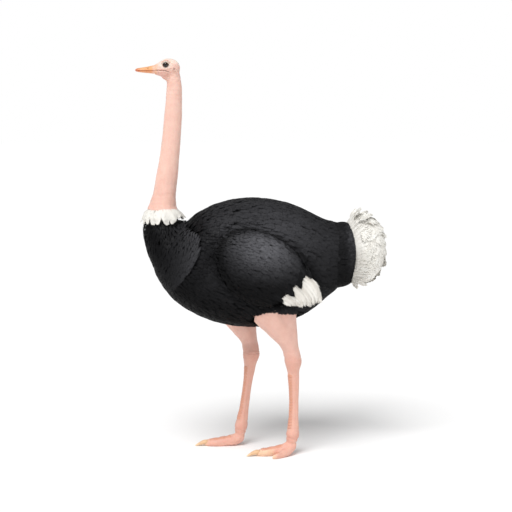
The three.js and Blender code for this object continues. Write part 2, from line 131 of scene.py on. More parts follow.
class OstrichColours(bpy.types.PropertyGroup):
    """Colours of the skin, the horn and the plumage."""

    skin: colour_setting("Skin", "Bare skin of neck and face", srgb(244, 200, 184))
    crown: colour_setting("Crown", "Paler skin on top of the head", srgb(255, 236, 222))
    # Also painted shade: it darkens the throat under the head and the skin round the brows.
    blush: colour_setting("Blush", "Redder skin in hollows and folds", srgb(212, 142, 124))
    leg: colour_setting("Leg", "Skin of thigh and shank", srgb(238, 190, 174))
    leg_low: colour_setting("Lower leg", "Scaled skin of the tarsus and toes", srgb(232, 177, 158))
    scute: colour_setting("Scute", "Horny plates on the front of the leg", srgb(222, 158, 132))
    horn: colour_setting("Horn", "Bill", srgb(244, 182, 124))
    horn_tip: colour_setting("Horn tip", "Redder tip and edges of the bill", srgb(216, 122, 82))
    nail: colour_setting("Nail", "Nails of the inner toes", srgb(226, 184, 142))
    nail_tip: colour_setting("Nail tip", "Worn tips of the nails", srgb(248, 216, 176))
    iris: colour_setting("Iris", "Dark brown iris", srgb(74, 42, 26))
    pupil: colour_setting("Pupil", "Pupil of the eye", srgb(5, 4, 4))
    lash: colour_setting("Lash", "Bristles of the eyelids", srgb(24, 18, 16))
    black: colour_setting("Black plumage", "Plumage of the body and wings", srgb(9, 9, 10))
    # The palest black: the worn tips, and also the painted highlight on the wing and the painted light on the
    # back.
    worn_black_and_highlight: colour_setting("Worn black", "Weathered tips of the black plumes", srgb(94, 94, 98))
    white: colour_setting("White plumage", "Collar, wing tips and tail", srgb(250, 249, 244))
    white_shade: colour_setting("White shade", "Roots of the white plumes", srgb(222, 216, 206))
    # Also painted shade in the ears and the nostrils, and partly painted shade in the crease of the mouth.
    gape: colour_setting("Gape", "Dark line of the closed mouth", srgb(84, 38, 30))
    floor: colour_setting("Floor", "Plain pale floor", srgb(255, 255, 255))


class OstrichStage(bpy.types.PropertyGroup):
    """The camera and the lights."""

    azimuth: angle_setting("Azimuth", "Turn of the camera round the bird, 0 from the front", 81.0)
    elevation: angle_setting("Elevation", "Height of the camera as an angle", 7.0)
    distance: length_setting("Distance", "From the camera to the middle of the bird", 6.83)
    lens: FloatProperty(name="Lens", description="Focal length", default=85.0, unit="CAMERA")
    key_strength: FloatProperty(name="Key", description="Strength of the soft key light", default=2.35)
    key_softness: angle_setting("Key softness", "Apparent size of the key light", 34.0)
    fill_power: FloatProperty(name="Fill", description="Power of the fill light", default=16.0, unit="POWER")
    sky: FloatProperty(name="Sky", description="Strength of the light from all round", default=0.43)


def settings_of(context):
    """The sizes and the colours on the panel."""
    return context.scene.ostrich_sizes, context.scene.ostrich_colours


# ------------------------------------------------------------------ places taken from the solids


def node_edges(*names):
    """Both ends of every edge of some CAD nodes."""
    found = []
    for name in names:
        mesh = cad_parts[name].data
        places = np.array([v.co[:] for v in mesh.vertices])
        found.append(places[np.array([edge.vertices[:] for edge in mesh.edges])])
    return np.concatenate(found)


def middle_of(name):
    """Middle of a CAD node's box."""
    low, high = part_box(name)
    return (low + high) / 2


EYE_RADIUS = (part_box("eye_L")[1].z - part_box("eye_L")[0].z) / 2
EYE_CENTRE = middle_of("eye_L")
BILL_TIP_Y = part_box("bill_upper")[0].y
GAPE_Z = (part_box("bill_upper")[0].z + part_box("bill_lower")[1].z) / 2
COLLAR_LOW, COLLAR_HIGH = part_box("collar")
TRUNK_LOW, TRUNK_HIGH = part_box("trunk")
TAIL_LOW, TAIL_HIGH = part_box("tail")
TAIL_CENTRE = Vector((0.0, TAIL_LOW.y + 0.03, middle_of("tail").z + 0.021))
TAIL_RADII = (0.143, 0.166, 0.207)
CUFF_START = 0.4
CUFF_MIDDLE_Z = 1.13


def collar_hem(back):
    """Height at which the black plumage disappears under the collar, higher at its rear."""
    rear = np.clip((back - (COLLAR_LOW.y + COLLAR_HIGH.y) / 2) / 0.1, 0.0, 1.0)
    return COLLAR_LOW.z + 0.004 + 0.018 * rear


def cuff_rim(height):
    """Where the black cuff ends and the tail begins."""
    return TRUNK_HIGH.y - 0.05 * ((height - CUFF_MIDDLE_Z) / 0.19) ** 2


def centre_line(edges, axis, start, end, count=60):
    """Middles of the slices through some edges across an axis, for the stations where there is a slice."""
    first, second = edges[:, 0], edges[:, 1]
    middles = []
    for station in np.linspace(start, end, count):
        crossing = (first[:, axis] - station) * (second[:, axis] - station) < 0
        if crossing.any():
            near, far = first[crossing], second[crossing]
            share = (station - near[:, axis]) / (far[:, axis] - near[:, axis])
            cut = near + share[:, None] * (far - near)
            middles.append((cut.min(0) + cut.max(0)) / 2)
    return np.array(middles)


def leg_axis(mark):
    """Centre line of a leg from the tarsus up to the thigh."""
    edges = node_edges("thigh_" + mark, "shank_" + mark, "tarsus_" + mark)
    return centre_line(edges, 2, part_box("tarsus_" + mark)[0].z + 0.01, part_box("thigh_" + mark)[1].z - 0.02)


# Lower edge of the plumage over the thigh: distance behind the thigh's middle, and height.
HEM = ((-0.17, 0.800), (-0.05, 0.842), (0.13, 0.814))
THIGH_Y = {mark: middle_of("thigh_" + mark).y for mark, _side in SIDES}


def hem_behind(behind):
    """Height of the hem at distances behind the thigh's middle."""
    return np.interp(behind, *zip(*HEM))


def hem_height(places):
    """Height of the hem at some places, each over the thigh of its own side."""
    return hem_behind(places[:, 1] - np.where(places[:, 0] > 0, THIGH_Y["L"], THIGH_Y["R"]))


def hem_at(place):
    """Height of the hem at one place."""
    return float(hem_behind(place[1] - THIGH_Y["L" if place[0] > 0 else "R"]))


# ------------------------------------------------------------------ small tools


def deselect():
    """Leaves edit mode and selects nothing."""
    if bpy.context.object and bpy.context.object.mode != "OBJECT":
        bpy.ops.object.mode_set(mode="OBJECT")
    bpy.ops.object.select_all(action="DESELECT")


def pick(*pieces):
    """Selects these pieces only, and makes the first one active."""
    deselect()
    for piece in pieces:
        piece.select_set(True)
    bpy.context.view_layer.objects.active = pieces[0]
    return pieces[0]


def add_piece(name, mesh):
    """A new object in the scene with this mesh."""
    piece = bpy.data.objects.new(name, mesh)
    bpy.context.scene.collection.objects.link(piece)
    return piece


def edit_all(piece, operation, **settings):
    """Runs one of Blender's mesh operators on the whole piece."""
    pick(piece)
    bpy.ops.object.mode_set(mode="EDIT")
    bpy.ops.mesh.select_all(action="SELECT")
    operation(**settings)
    bpy.ops.object.mode_set(mode="OBJECT")
    return piece


def copy_of(node):
    """A merged copy of a CAD node's mesh as a new object."""
    piece = add_piece(node + "_copy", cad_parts[node].data.copy())
    piece.data.materials.clear()
    return edit_all(piece, bpy.ops.mesh.remove_doubles, threshold=0.00001)


def join(pieces, name):
    """One object from several."""
    piece = pick(*pieces)
    if len(pieces) > 1:
        bpy.ops.object.join()
    piece.name = name
    return piece


def apply_modifier(piece, kind, **settings):
    """Adds a modifier, sets it and applies it."""
    pick(piece)
    modifier = piece.modifiers.new(kind.lower(), kind)
    for setting, value in settings.items():
        setattr(modifier, setting, value)
    bpy.ops.object.modifier_apply(modifier=modifier.name)
    return piece


def remeshed(piece, grain, smoothing):
    """An even skin of small faces over everything in the piece."""
    apply_modifier(piece, "REMESH", mode="VOXEL", voxel_size=grain)
    return apply_modifier(piece, "SMOOTH", factor=0.5, iterations=smoothing)


def swollen(piece, by):
    """The piece grown (or shrunk) along its normals."""
    return apply_modifier(piece, "DISPLACE", strength=by, mid_level=0.0)


def ball(centre, radii, turn=(0.0, 0.0, 0.0)):
    """An egg of flesh, in place."""
    bpy.ops.mesh.primitive_uv_sphere_add(segments=24, ring_count=14, location=centre, rotation=turn)
    piece = bpy.context.object
    piece.scale = radii
    bpy.ops.object.transform_apply(location=True, rotation=True, scale=True)
    return piece


def read_all(collection, name, width, kind=float):
    """One property of every item of a mesh, as an array."""
    found = np.empty(len(collection) * width, kind)
    collection.foreach_get(name, found)
    return found.reshape(-1, width) if width > 1 else found


def coordinates(piece):
    """The place of every vertex."""
    return read_all(piece.data.vertices, "co", 3)


def normals_of(piece):
    """The outward direction at every vertex."""
    return read_all(piece.data.vertex_normals, "vector", 3)


def move_points(piece, places):
    """Puts every vertex at its new place."""
    piece.data.vertices.foreach_set("co", places.ravel())
    piece.data.update()


def write_values(piece, name, values):
    """A number on every vertex that the materials read."""
    layer = piece.data.attributes.new(name, "FLOAT", "POINT")
    layer.data.foreach_set("value", np.asarray(values, np.float32))


def finish_piece(piece, slot, *nodes, material):
    """Gives a piece smooth shading, its material and body, and hides the nodes that it stands for. The slot is
    not used.
    """
    pick(piece)
    bpy.ops.object.shade_smooth()
    piece.data.materials.clear()
    piece.data.materials.append(material)
    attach(piece, BODY)
    if nodes:
        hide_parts(*nodes)


def fade(value, start, end):
    """0 before start, 1 after end, with a soft turn. Start may be the larger."""
    share = np.clip((value - start) / (end - start), 0.0, 1.0)
    return share * share * (3 - 2 * share)


def hump(value, middle, width):
    """A soft bump of height 1."""
    return np.exp(-(((value - middle) / width) ** 2))


def ripples(points, size, seed):
    """Soft noise between about -1 and 1, with features of the given size."""
    draw = np.random.RandomState(seed)
    total = np.zeros(len(points))
    waves = 7
    for _wave in range(waves):
        direction = draw.normal(size=3)
        direction *= math.pi / (size * np.linalg.norm(direction))
        total += np.sin(points @ direction * draw.uniform(0.7, 1.5) + draw.uniform(0, 2 * math.pi))
    return total / math.sqrt(waves)


def unit(vectors):
    """The same directions with length 1."""
    return vectors / np.maximum(np.linalg.norm(vectors, axis=-1, keepdims=True), 1e-9)


# ------------------------------------------------------------------ node helpers


def add_node(tree, kind, settings=None, **inputs):
    """A shader node with its settings and the values of its sockets, named, or numbered after an i."""
    made = tree.nodes.new(kind)
    for setting, value in (settings or {}).items():
        setattr(made, setting, value)
    for socket, value in inputs.items():
        target = made.inputs[int(socket[1:]) if socket[1:].isdigit() else socket.replace("_", " ")]
        if isinstance(value, bpy.types.NodeSocket):
            tree.links.new(value, target)
        else:
            target.default_value = value
    return made


def mixed(tree, factor, first, second):
    """A colour between two, by a mask."""
    return add_node(tree, "ShaderNodeMix", {"data_type": "RGBA"}, i0=factor, i6=first, i7=second).outputs[2]


def value_of(tree, attribute):
    """The number that the piece's vertices carry under a name."""
    return add_node(tree, "ShaderNodeAttribute", {"attribute_name": attribute}).outputs["Fac"]


def maths(tree, operation, first, second):
    """A sum or a product."""
    return add_node(tree, "ShaderNodeMath", {"operation": operation}, i0=first, i1=second).outputs[0]


def spread(tree, value, **ends):
    """A number spread from one range to another."""
    return add_node(tree, "ShaderNodeMapRange", None, Value=value, **ends).outputs["Result"]


def noise(tree, place, scale, detail):
    """Soft noise from 0 to 1."""
    made = add_node(tree, "ShaderNodeTexNoise", None, Vector=place, Scale=scale, Detail=detail)
    return made.outputs["Fac"]


def own_place(tree):
    """The place on the piece, in its own coordinates."""
    return tree.nodes.new("ShaderNodeTexCoord").outputs["Object"]


def new_group(name, inputs, output):
    """An empty node group with float sockets, and a way to give its result."""
    tree = bpy.data.node_groups.new(name, "ShaderNodeTree")
    for label, default in inputs.items():
        socket = tree.interface.new_socket(label, in_out="INPUT", socket_type="NodeSocketFloat")
        socket.default_value = default
    tree.interface.new_socket(output, in_out="OUTPUT", socket_type="NodeSocketFloat")
    given = tree.nodes.new("NodeGroupInput").outputs
    result = tree.nodes.new("NodeGroupOutput").inputs[output]
    return tree, given, result


def mottle_group():
    """Soft patches: a mask from 0 to 1."""
    tree, given, result = new_group("Mottle", {"Scale": 20.0, "Low": 0.35, "High": 0.65}, "Mask")
    patches = noise(tree, own_place(tree), given["Scale"], 4.0)
    tree.links.new(spread(tree, patches, From_Min=given["Low"], From_Max=given["High"]), result)
    return tree


def pebble_group():
    """Small raised cells with grooves between them, as on leather or scaled skin: a height."""
    inputs = {"Cells": 300.0, "Grain": 900.0, "Grain share": 0.4}
    tree, given, result = new_group("Pebbles", inputs, "Height")
    place = own_place(tree)
    kind = {"feature": "DISTANCE_TO_EDGE"}
    cells = add_node(tree, "ShaderNodeTexVoronoi", kind, Vector=place, Scale=given["Cells"])
    raised = spread(tree, cells.outputs["Distance"], From_Max=0.25)
    grain = maths(tree, "MULTIPLY", noise(tree, place, given["Grain"], 3.0), given["Grain share"])
    tree.links.new(maths(tree, "ADD", raised, grain), result)
    return tree


def use_group(tree, name, **inputs):
    """The result of a node group, which is built the first time that a material needs it."""
    made = tree.nodes.new("ShaderNodeGroup")
    made.node_tree = bpy.data.node_groups.get(name) or GROUPS[name]()
    for socket, value in inputs.items():
        made.inputs[socket].default_value = value
    return made.outputs[0]


GROUPS = {"Mottle": mottle_group, "Pebbles": pebble_group}


def new_material(name, **constants):
    """A material with its shader, and the constants set on the shader itself."""
    material = bpy.data.materials.new(name)
    material.use_nodes = True
    tree = material.node_tree
    shader = tree.nodes["Principled BSDF"]
    for socket, value in constants.items():
        shader.inputs[socket.replace("_", " ")].default_value = value
    return material, tree, shader


def coated(tree, base, *coats):
    """A base colour under coats of others. Each has a mask, how much of it counts, and a colour.

    A mask is a node's output or the name of a number on the vertices.
    """
    for mask, share, colour in coats:
        mask = value_of(tree, mask) if isinstance(mask, str) else mask
        base = mixed(tree, mask if share == 1 else maths(tree, "MULTIPLY", mask, share), base, colour)
    return base


def finish_shader(tree, shader, colour, rough_mask, rough_low, rough_high):
    """Gives the shader its colour, and a roughness that varies with a mask."""
    tree.links.new(colour, shader.inputs["Base Color"])
    tree.links.new(spread(tree, rough_mask, To_Min=rough_low, To_Max=rough_high), shader.inputs["Roughness"])


def bump(tree, shader, height, strength, distance):
    """Relief too fine for the mesh."""
    made = add_node(tree, "ShaderNodeBump", None, Height=height, Strength=strength, Distance=distance)
    tree.links.new(made.outputs["Normal"], shader.inputs["Normal"])


# ------------------------------------------------------------------ materials


def skin_material(colours):
    """Bare skin: pink with soft patches, cream on the crown, redder on the legs, dark under the black. It also
    carries painted shade under the throat and round the brows.
    """
    material, tree, shader = new_material(
        "BareSkin",
        Subsurface_Weight=0.12,
        Subsurface_Radius=(0.012, 0.005, 0.003),
        Subsurface_Scale=0.6,
        Specular_IOR_Level=0.38,
        Sheen_Weight=0.12,
        Sheen_Roughness=0.5,
    )
    patches = use_group(tree, "Mottle", Scale=26.0, Low=0.38, High=0.72)
    specks = use_group(tree, "Mottle", Scale=210.0, Low=0.42, High=0.66)
    low_leg = value_of(tree, "low_leg")
    leg = coated(tree, colours.leg, (low_leg, 1, colours.leg_low), ("toe_tip", 0.6, colours.nail_tip))
    # Redder patches, and painted shade on the throat and round the brows.
    rosy_and_shade = maths(tree, "ADD", value_of(tree, "blush"), maths(tree, "MULTIPLY", patches, 0.22))
    colour = coated(
        tree,
        colours.skin,
        ("crown", 1, colours.crown),
        ("leg", 1, leg),
        (rosy_and_shade, 1, colours.blush),
        (specks, 0.16, colours.crown),
        ("horny", 1, colours.horn),
        ("gape", 1, colours.gape),
        ("under_white", 1, colours.white_shade),
        ("under_black", 1, colours.black),
    )
    finish_shader(tree, shader, colour, specks, 0.46, 0.62)
    fine = use_group(tree, "Pebbles", Cells=420.0, Grain=1500.0)
    coarse = use_group(tree, "Pebbles", Cells=230.0, Grain=1000.0)
    height = add_node(tree, "ShaderNodeMix", None, i0=low_leg, i2=fine, i3=coarse)
    bump(tree, shader, height.outputs[0], 0.5, 0.0007)
    return material


def plume_material(name, root_colour, tip_colour, sheen, gloss, patch_scale, roughness):
    """Plumage: darker roots, lighter tips, and a tone of its own for every plume, which on the black plumes is
    mostly painted light and shade.
    """
    material, tree, shader = new_material(
        name, Sheen_Weight=sheen, Sheen_Roughness=0.4, Specular_IOR_Level=gloss
    )
    shade = value_of(tree, "shade")
    patches = maths(tree, "MULTIPLY", use_group(tree, "Mottle", Scale=patch_scale, Low=0.3, High=0.7), 0.14)
    tips_and_patches = maths(tree, "ADD", maths(tree, "MULTIPLY", value_of(tree, "along"), 0.22), patches)
    tone = maths(tree, "MULTIPLY", shade, maths(tree, "ADD", tips_and_patches, 0.72))
    colour = mixed(tree, tone, root_colour, tip_colour)
    finish_shader(tree, shader, colour, shade, roughness - 0.06, roughness + 0.08)
    return material


def black_plumes(name, colours, gloss, patch_scale, roughness):
    """Matt black plumage, greyer at the worn tips."""
    return plume_material(name, colours.black, colours.worn_black_and_highlight, 0.006, gloss, patch_scale, roughness)


def white_plumes(name, colours, patch_scale):
    """Soft white plumage."""
    return plume_material(name, colours.white_shade, colours.white, 0.15, 0.3, patch_scale, 0.6)


def horn_material(name, colours, main, tip, roughness, fine_lines):
    """Horn: fine growth lines, a second colour at the edges, skin colour at the base, and painted shade in the
    nostrils.
    """
    material, tree, shader = new_material(
        name, Specular_IOR_Level=0.5, Coat_Weight=0.12, Coat_Roughness=0.3
    )
    patches = use_group(tree, "Mottle", Scale=60.0, Low=0.35, High=0.7)
    colour = coated(
        tree,
        main,
        ("edge", 1, tip),
        (patches, 0.25, tip),
        ("fleshy", 1, colours.skin),
        # Painted shade in the nostrils.
        ("dark", 1, colours.gape),
    )
    finish_shader(tree, shader, colour, patches, roughness, roughness + 0.14)
    stretch = add_node(tree, "ShaderNodeMapping", None, Vector=own_place(tree), Scale=fine_lines)
    bump(tree, shader, noise(tree, stretch.outputs["Vector"], 90.0, 5.0), 0.45, 0.0006)
    return material


def scute_material(colours):
    """Horny plates: smooth and a little glossy, with soft patches."""
    material, tree, shader = new_material("ScuteHorn", Specular_IOR_Level=0.45, Coat_Weight=0.08)
    patches = use_group(tree, "Mottle", Scale=48.0, Low=0.35, High=0.7)
    colour = coated(tree, colours.scute, (patches, 0.5, colours.leg_low))
    finish_shader(tree, shader, colour, patches, 0.38, 0.52)
    bump(tree, shader, use_group(tree, "Pebbles", Cells=160.0, Grain=1200.0), 0.3, 0.0005)
    return material


def eye_material(colours):
    """A wet eye: dark brown iris with fine rays round the pupil."""
    material, tree, shader = new_material(
        "Eye", Roughness=0.05, Specular_IOR_Level=0.3, Coat_Weight=0.6, Coat_Roughness=0.02
    )
    iris = mixed(tree, noise(tree, own_place(tree), 900.0, 2.0), colours.iris, colours.pupil)
    tree.links.new(coated(tree, iris, ("pupil", 1, colours.pupil)), shader.inputs["Base Color"])
    return material


def plain_material(name, colour, **constants):
    """One even colour, for the floor and the bristles of the lids."""
    material, _tree, shader = new_material(name, **constants)
    shader.inputs["Base Color"].default_value = colour
    return material


# ------------------------------------------------------------------ the skin


def tail_core(sizes):
    """The fleshy root of the tail: inside the cuff in front, and close under the plumes behind."""
    radii = (TAIL_RADII[0] - sizes.tail_depth - 0.005, 0.096, TAIL_RADII[2] - sizes.tail_depth - 0.003)
    return ball(TAIL_CENTRE + Vector((0.0, 0.04, 0.0)), radii)


def under_plumage(sizes):
    """The trunk, the neck base, the wing arms and the tail root, inside the plumage by its depth."""
    trunk = remeshed(join([copy_of("trunk"), copy_of("neck_base")], "trunk_core"), 0.018, 6)
    trunk = swollen(trunk, -sizes.coat_depth)
    arms = []
    for mark, side in SIDES:
        wing = middle_of("wing_" + mark)
        place = (side * 0.225, wing.y - 0.05, wing.z + 0.04)
        arms.append(ball(place, (0.045, 0.22, 0.11), turn=(math.radians(-24.0), 0.0, 0.0)))
    gullet = ball((0.0, middle_of("neck_base").y, COLLAR_LOW.z - 0.056), (0.1, 0.104, 0.102))
    nape = ball((0.0, -0.43, COLLAR_LOW.z - 0.064), (0.1, 0.08, 0.049))
    return remeshed(join([trunk, *arms, gullet, nape, tail_core(sizes)], "core"), sizes.core_grain, 4)


def near_any(piece, centres, reach):
    """Which vertices lie within reach of one of some places."""
    places = coordinates(piece)
    close = np.zeros(len(places), bool)
    for centre in centres:
        close |= np.linalg.norm(places - np.array(centre), axis=1) < reach
    return close


def subdivide_near(piece, centres, reach):
    """Finer faces near some places."""
    close = near_any(piece, centres, reach)
    pick(piece)
    bpy.ops.object.mode_set(mode="EDIT")
    bpy.ops.mesh.select_all(action="DESELECT")
    bpy.ops.object.mode_set(mode="OBJECT")
    corners = read_all(piece.data.loops, "vertex_index", 1, int)
    starts = read_all(piece.data.polygons, "loop_start", 1, int)
    ends = read_all(piece.data.edges, "vertices", 2, int)
    piece.data.vertices.foreach_set("select", close)
    piece.data.polygons.foreach_set("select", np.logical_and.reduceat(close[corners], starts))
    piece.data.edges.foreach_set("select", close[ends].all(axis=1))
    bpy.ops.object.mode_set(mode="EDIT")
    bpy.ops.mesh.subdivide(number_cuts=1, smoothness=0.0)
    bpy.ops.object.mode_set(mode="OBJECT")


def smooth_part(piece, name, chosen, times):
    """Smooths some vertices only, kept as a group of that name."""
    group = piece.vertex_groups.new(name=name)
    group.add(np.nonzero(chosen)[0].tolist(), 1.0, "REPLACE")
    apply_modifier(piece, "SMOOTH", factor=0.5, iterations=times, vertex_group=name)


def eye_frame(side):
    """Centre of an eyeball, and its outward, rearward and upward directions."""
    centre = np.array([side * EYE_CENTRE.x, EYE_CENTRE.y, EYE_CENTRE.z])
    outward = unit(np.array([side * 1.0, -0.2, 0.06]))
    upward = unit(np.array([0.0, 0.0, 1.0]) - outward * outward[2])
    rearward = np.array([0.0, 1.0, 0.0])
    rearward = unit(rearward - outward * outward[1] - upward * (rearward @ upward))
    return centre, outward, rearward, upward


EYE_OPENING = {"half_width": 0.0184, "half_height": 0.0152, "roundness": 1.8}


def round_eye(places, side):
    """Directions and distances of some places from an eye's centre, then where they lie on it.

    That is how far out from its opening, 1 on the rim of the lids, how high, and whether near its face.
    """
    centre, outward, rearward, upward = eye_frame(side)
    offset = places - centre
    distance = np.linalg.norm(offset, axis=1)
    way = offset / np.maximum(distance, 1e-9)[:, None]
    back, up = EYE_RADIUS * (way @ rearward), EYE_RADIUS * (way @ upward)
    power = EYE_OPENING["roundness"]
    share = np.abs(back / EYE_OPENING["half_width"]) ** power
    share += np.abs(up / EYE_OPENING["half_height"]) ** power
    near = ((way @ outward) > 0.12) & (distance < 1.9 * EYE_RADIUS)
    return way, distance, share ** (1 / power), up, near


def shape_lids(places, side, thickness):
    """Wraps the skin round the eyeball, with an almond opening and folds above and below it."""
    way, distance, share, up, near = round_eye(places, side)
    inside = near & (share < 0.97)
    folds = 0.0019 * hump(share, 1.42, 0.09) * fade(up, -0.004, 0.008)
    folds += 0.0014 * (hump(share, 1.32, 0.07) + hump(share, 1.62, 0.08)) * fade(up, 0.0, -0.008)
    brow = 0.0026 * hump(share, 1.8, 0.25) * fade(up, 0.002, 0.012) + 0.0009 * hump(share, 1.05, 0.07)
    shell = EYE_RADIUS + thickness * (1 - 0.6 * fade(share, 1.5, 2.3)) + brow - folds
    wanted = np.where(inside, EYE_RADIUS - 0.004, np.maximum(distance - folds, shell))
    blend = np.where(inside, 1.0, fade(share, 2.1, 1.7))
    reach = np.where(near, distance + (wanted - distance) * blend, distance)
    return eye_frame(side)[0] + way * reach[:, None]


def head_coordinates(places):
    """Distance behind the bill tip, height over the gape, and how far out to the side."""
    return places[:, 1] - BILL_TIP_Y, places[:, 2] - GAPE_Z, np.abs(places[:, 0])


def gape_height(back):
    """Height of the line of the closed mouth, which droops at its corner."""
    return -0.0068 * fade(back, 0.146, 0.186)


EAR_BACK, EAR_UP = 0.21, 0.008


def shape_head(piece, sizes):
    """Brow, cheek, gape crease, ear rim and throat folds, then the lids."""
    places = coordinates(piece)
    way = normals_of(piece)
    back, up, out = head_coordinates(places)
    beside = fade(out, 0.012, 0.026)
    gape = up - gape_height(back)
    lips = fade(back, 0.195, 0.165) * fade(out, 0.012, 0.024)
    jaw = hump(up, -0.026 + 0.12 * np.maximum(back - 0.16, 0), 0.005) * fade(back, 0.22, 0.19)
    from_ear = np.hypot(back - EAR_BACK, up - EAR_UP)
    push = 0.0042 * hump(back, 0.166, 0.026) * hump(up, 0.056, 0.009) * beside  # brow
    push += 0.0025 * hump(back, 0.2, 0.022) * hump(up, 0.012, 0.018) * fade(out, 0.02, 0.035)  # cheek
    push -= 0.0022 * hump(back, 0.127, 0.016) * hump(up, 0.02, 0.01) * beside  # hollow before the eye
    push -= 0.0028 * hump(gape, 0.0, 0.0018) * fade(back, 0.188, 0.168) * fade(out, 0.012, 0.024)
    push += (0.0012 * hump(gape, -0.006, 0.004) + 0.001 * hump(gape, 0.006, 0.003)) * lips
    push += 0.0014 * jaw * fade(out, 0.006, 0.018)
    push += 0.0022 * hump(from_ear, 0.0095, 0.0028) * fade(out, 0.02, 0.034)
    head = fade(up, -0.075, -0.045) * fade(back, 0.27, 0.25)
    push += 0.00045 * ripples(places * (1.0, 1.0, 1.6), 0.011, 3) * head
    push += 0.0007 * ripples(places * (1.0, 1.0, 2.4), 0.02, 4) * hump(up, -0.07, 0.05)
    places = places + way * (push * head)[:, None]
    for _mark, side in SIDES:
        mine = places[:, 0] * side > 0
        places[mine] = shape_lids(places[mine], side, sizes.lid_thickness)
    move_points(piece, places)


def shape_neck(piece):
    """Loose skin: faint rings, a windpipe along the front and a furrow each side of it."""
    places = coordinates(piece)
    way = normals_of(piece)
    height = places[:, 2]
    rings = np.sin(2 * math.pi * (height + 0.006 * ripples(places, 0.06, 5)) / 0.027)
    loose = 0.35 + 0.65 * fade(height, 1.9, 2.08) + 0.4 * fade(height, 1.6, 1.45)
    push = 0.0012 * np.maximum(rings, -0.3) * loose * (0.6 + 0.4 * ripples(places, 0.05, 6))
    push += 0.0028 * fade(-way[:, 1], 0.72, 0.97)  # windpipe
    push -= 0.0015 * hump(-way[:, 1], 0.62, 0.14)  # furrows
    push += 0.0013 * ripples(places * (1.0, 1.0, 0.3), 0.03, 7)
    bare = fade(height, COLLAR_HIGH.z - 0.01, COLLAR_HIGH.z + 0.05)
    bare *= fade(height, GAPE_Z - 0.05, GAPE_Z - 0.11)
    move_points(piece, places + way * (push * bare)[:, None])


def bare_neck(sizes):
    """The neck from under the collar to the head. The eyes fill their sockets until the lids are shaped."""
    names = ("neck_lower", "neck_upper", "head", "eye_L", "eye_R")
    parts = [swollen(copy_of(name), MERGE) for name in names]
    collar = (COLLAR_LOW + COLLAR_HIGH) / 2
    parts.append(ball((0.0, collar.y - 0.008, collar.z - 0.003), (0.09, 0.088, 0.046)))
    parts.append(ball((0.0, BILL_TIP_Y + 0.228, GAPE_Z - 0.03), (0.024, 0.017, 0.034)))  # nape
    parts.append(ball((0.0, BILL_TIP_Y + 0.17, GAPE_Z - 0.038), (0.018, 0.024, 0.014)))  # chin
    neck = remeshed(join(parts, "neck"), sizes.skin_grain, 6)
    throat = (0.0, BILL_TIP_Y + 0.165, GAPE_Z - 0.062)
    smooth_part(neck, "throat", near_any(neck, [throat], 0.05), 40)
    head, head_reach = (0.0, BILL_TIP_Y + 0.17, GAPE_Z + 0.01), 0.1
    subdivide_near(neck, [head], head_reach)
    smooth_part(neck, "head", near_any(neck, [head], head_reach), 5)
    subdivide_near(neck, [(side * 0.045, EYE_CENTRE.y, EYE_CENTRE.z) for _mark, side in SIDES], 0.036)
    apply_modifier(neck, "SMOOTH", factor=0.5, iterations=3, vertex_group="head")
    shape_neck(neck)
    shape_head(neck, sizes)
    return neck


HOCK_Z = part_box("tarsus_L")[1].z - 0.004


def shape_leg(piece, mark, side):
    """Hock knobs, tendons, knuckles and the creases at the joints."""
    places = coordinates(piece)
    way = normals_of(piece)
    axis = leg_axis(mark)
    height = places[:, 2]
    out = (places[:, 0] - np.interp(height, axis[:, 2], axis[:, 0])) * side
    back = places[:, 1] - np.interp(height, axis[:, 2], axis[:, 1])
    turn = np.arctan2(out, -back)  # 0 at the front, a quarter turn on the outer side
    round_leg = np.abs(turn)
    sideways = np.abs(np.sin(turn))
    behind, before = fade(-np.cos(turn), 0.2, 0.9), fade(np.cos(turn), 0.2, 0.9)
    push = 0.0048 * hump(height, HOCK_Z, 0.032) * sideways  # knobs of the hock
    push += 0.0042 * hump(height, HOCK_Z - 0.018, 0.026) * behind
    push -= 0.0028 * hump(height, HOCK_Z + 0.012, 0.012) * before  # crease over it
    folds = np.sin(2 * math.pi * (height + 0.003 * ripples(places, 0.03, 8)) / 0.0135)
    push += 0.0015 * folds * hump(height, HOCK_Z, 0.03)
    tarsus = fade(height, 0.13, 0.19) * fade(height, 0.5, 0.44)
    tendons = 0.0016 * hump(round_leg, math.pi, 0.5)
    tendons -= 0.0026 * hump(round_leg, 2.05, 0.32) + 0.0014 * hump(round_leg, 1.05, 0.25)
    push += tarsus * tendons
    push += 0.0034 * hump(height, 0.122, 0.02) * (0.4 + 0.6 * sideways)  # ankle, between two creases
    push -= 0.0036 * hump(height + 0.25 * back, 0.094, 0.0045)
    push -= 0.0024 * hump(height + 0.25 * back, 0.151, 0.004) * (1 - 0.6 * sideways)
    shank = fade(height, 0.56, 0.66) * fade(height, 0.9, 0.8)
    push += 0.0048 * shank * (hump(turn, 1.2, 0.55) - hump(turn, 2.35, 0.3) + hump(turn, -1.9, 0.5))
    push += 0.0016 * ripples(places * (1.0, 1.0, 0.35), 0.035, 9) * fade(height, 0.15, 0.3)
    foot = fade(height, 0.1, 0.07) * fade(height, 0.004, 0.012)
    push += 0.0012 * foot * ripples(places, 0.02, 10)
    places = places + way * push[:, None]
    places[:, 2] = np.maximum(places[:, 2], 0.0)
    move_points(piece, places)


def bare_leg(mark, side, sizes):
    """One leg from the thigh to the toes, flat under the soles."""
    parts = [swollen(copy_of(part + "_" + mark), MERGE) for part in LEG_PARTS]
    leg = remeshed(join(parts, "leg_" + mark), sizes.skin_grain, 5)
    places = coordinates(leg)
    places[:, 2] = np.where(places[:, 2] < 0.0025, 0.0, places[:, 2])
    move_points(leg, places)
    shape_leg(leg, mark, side)
    return leg


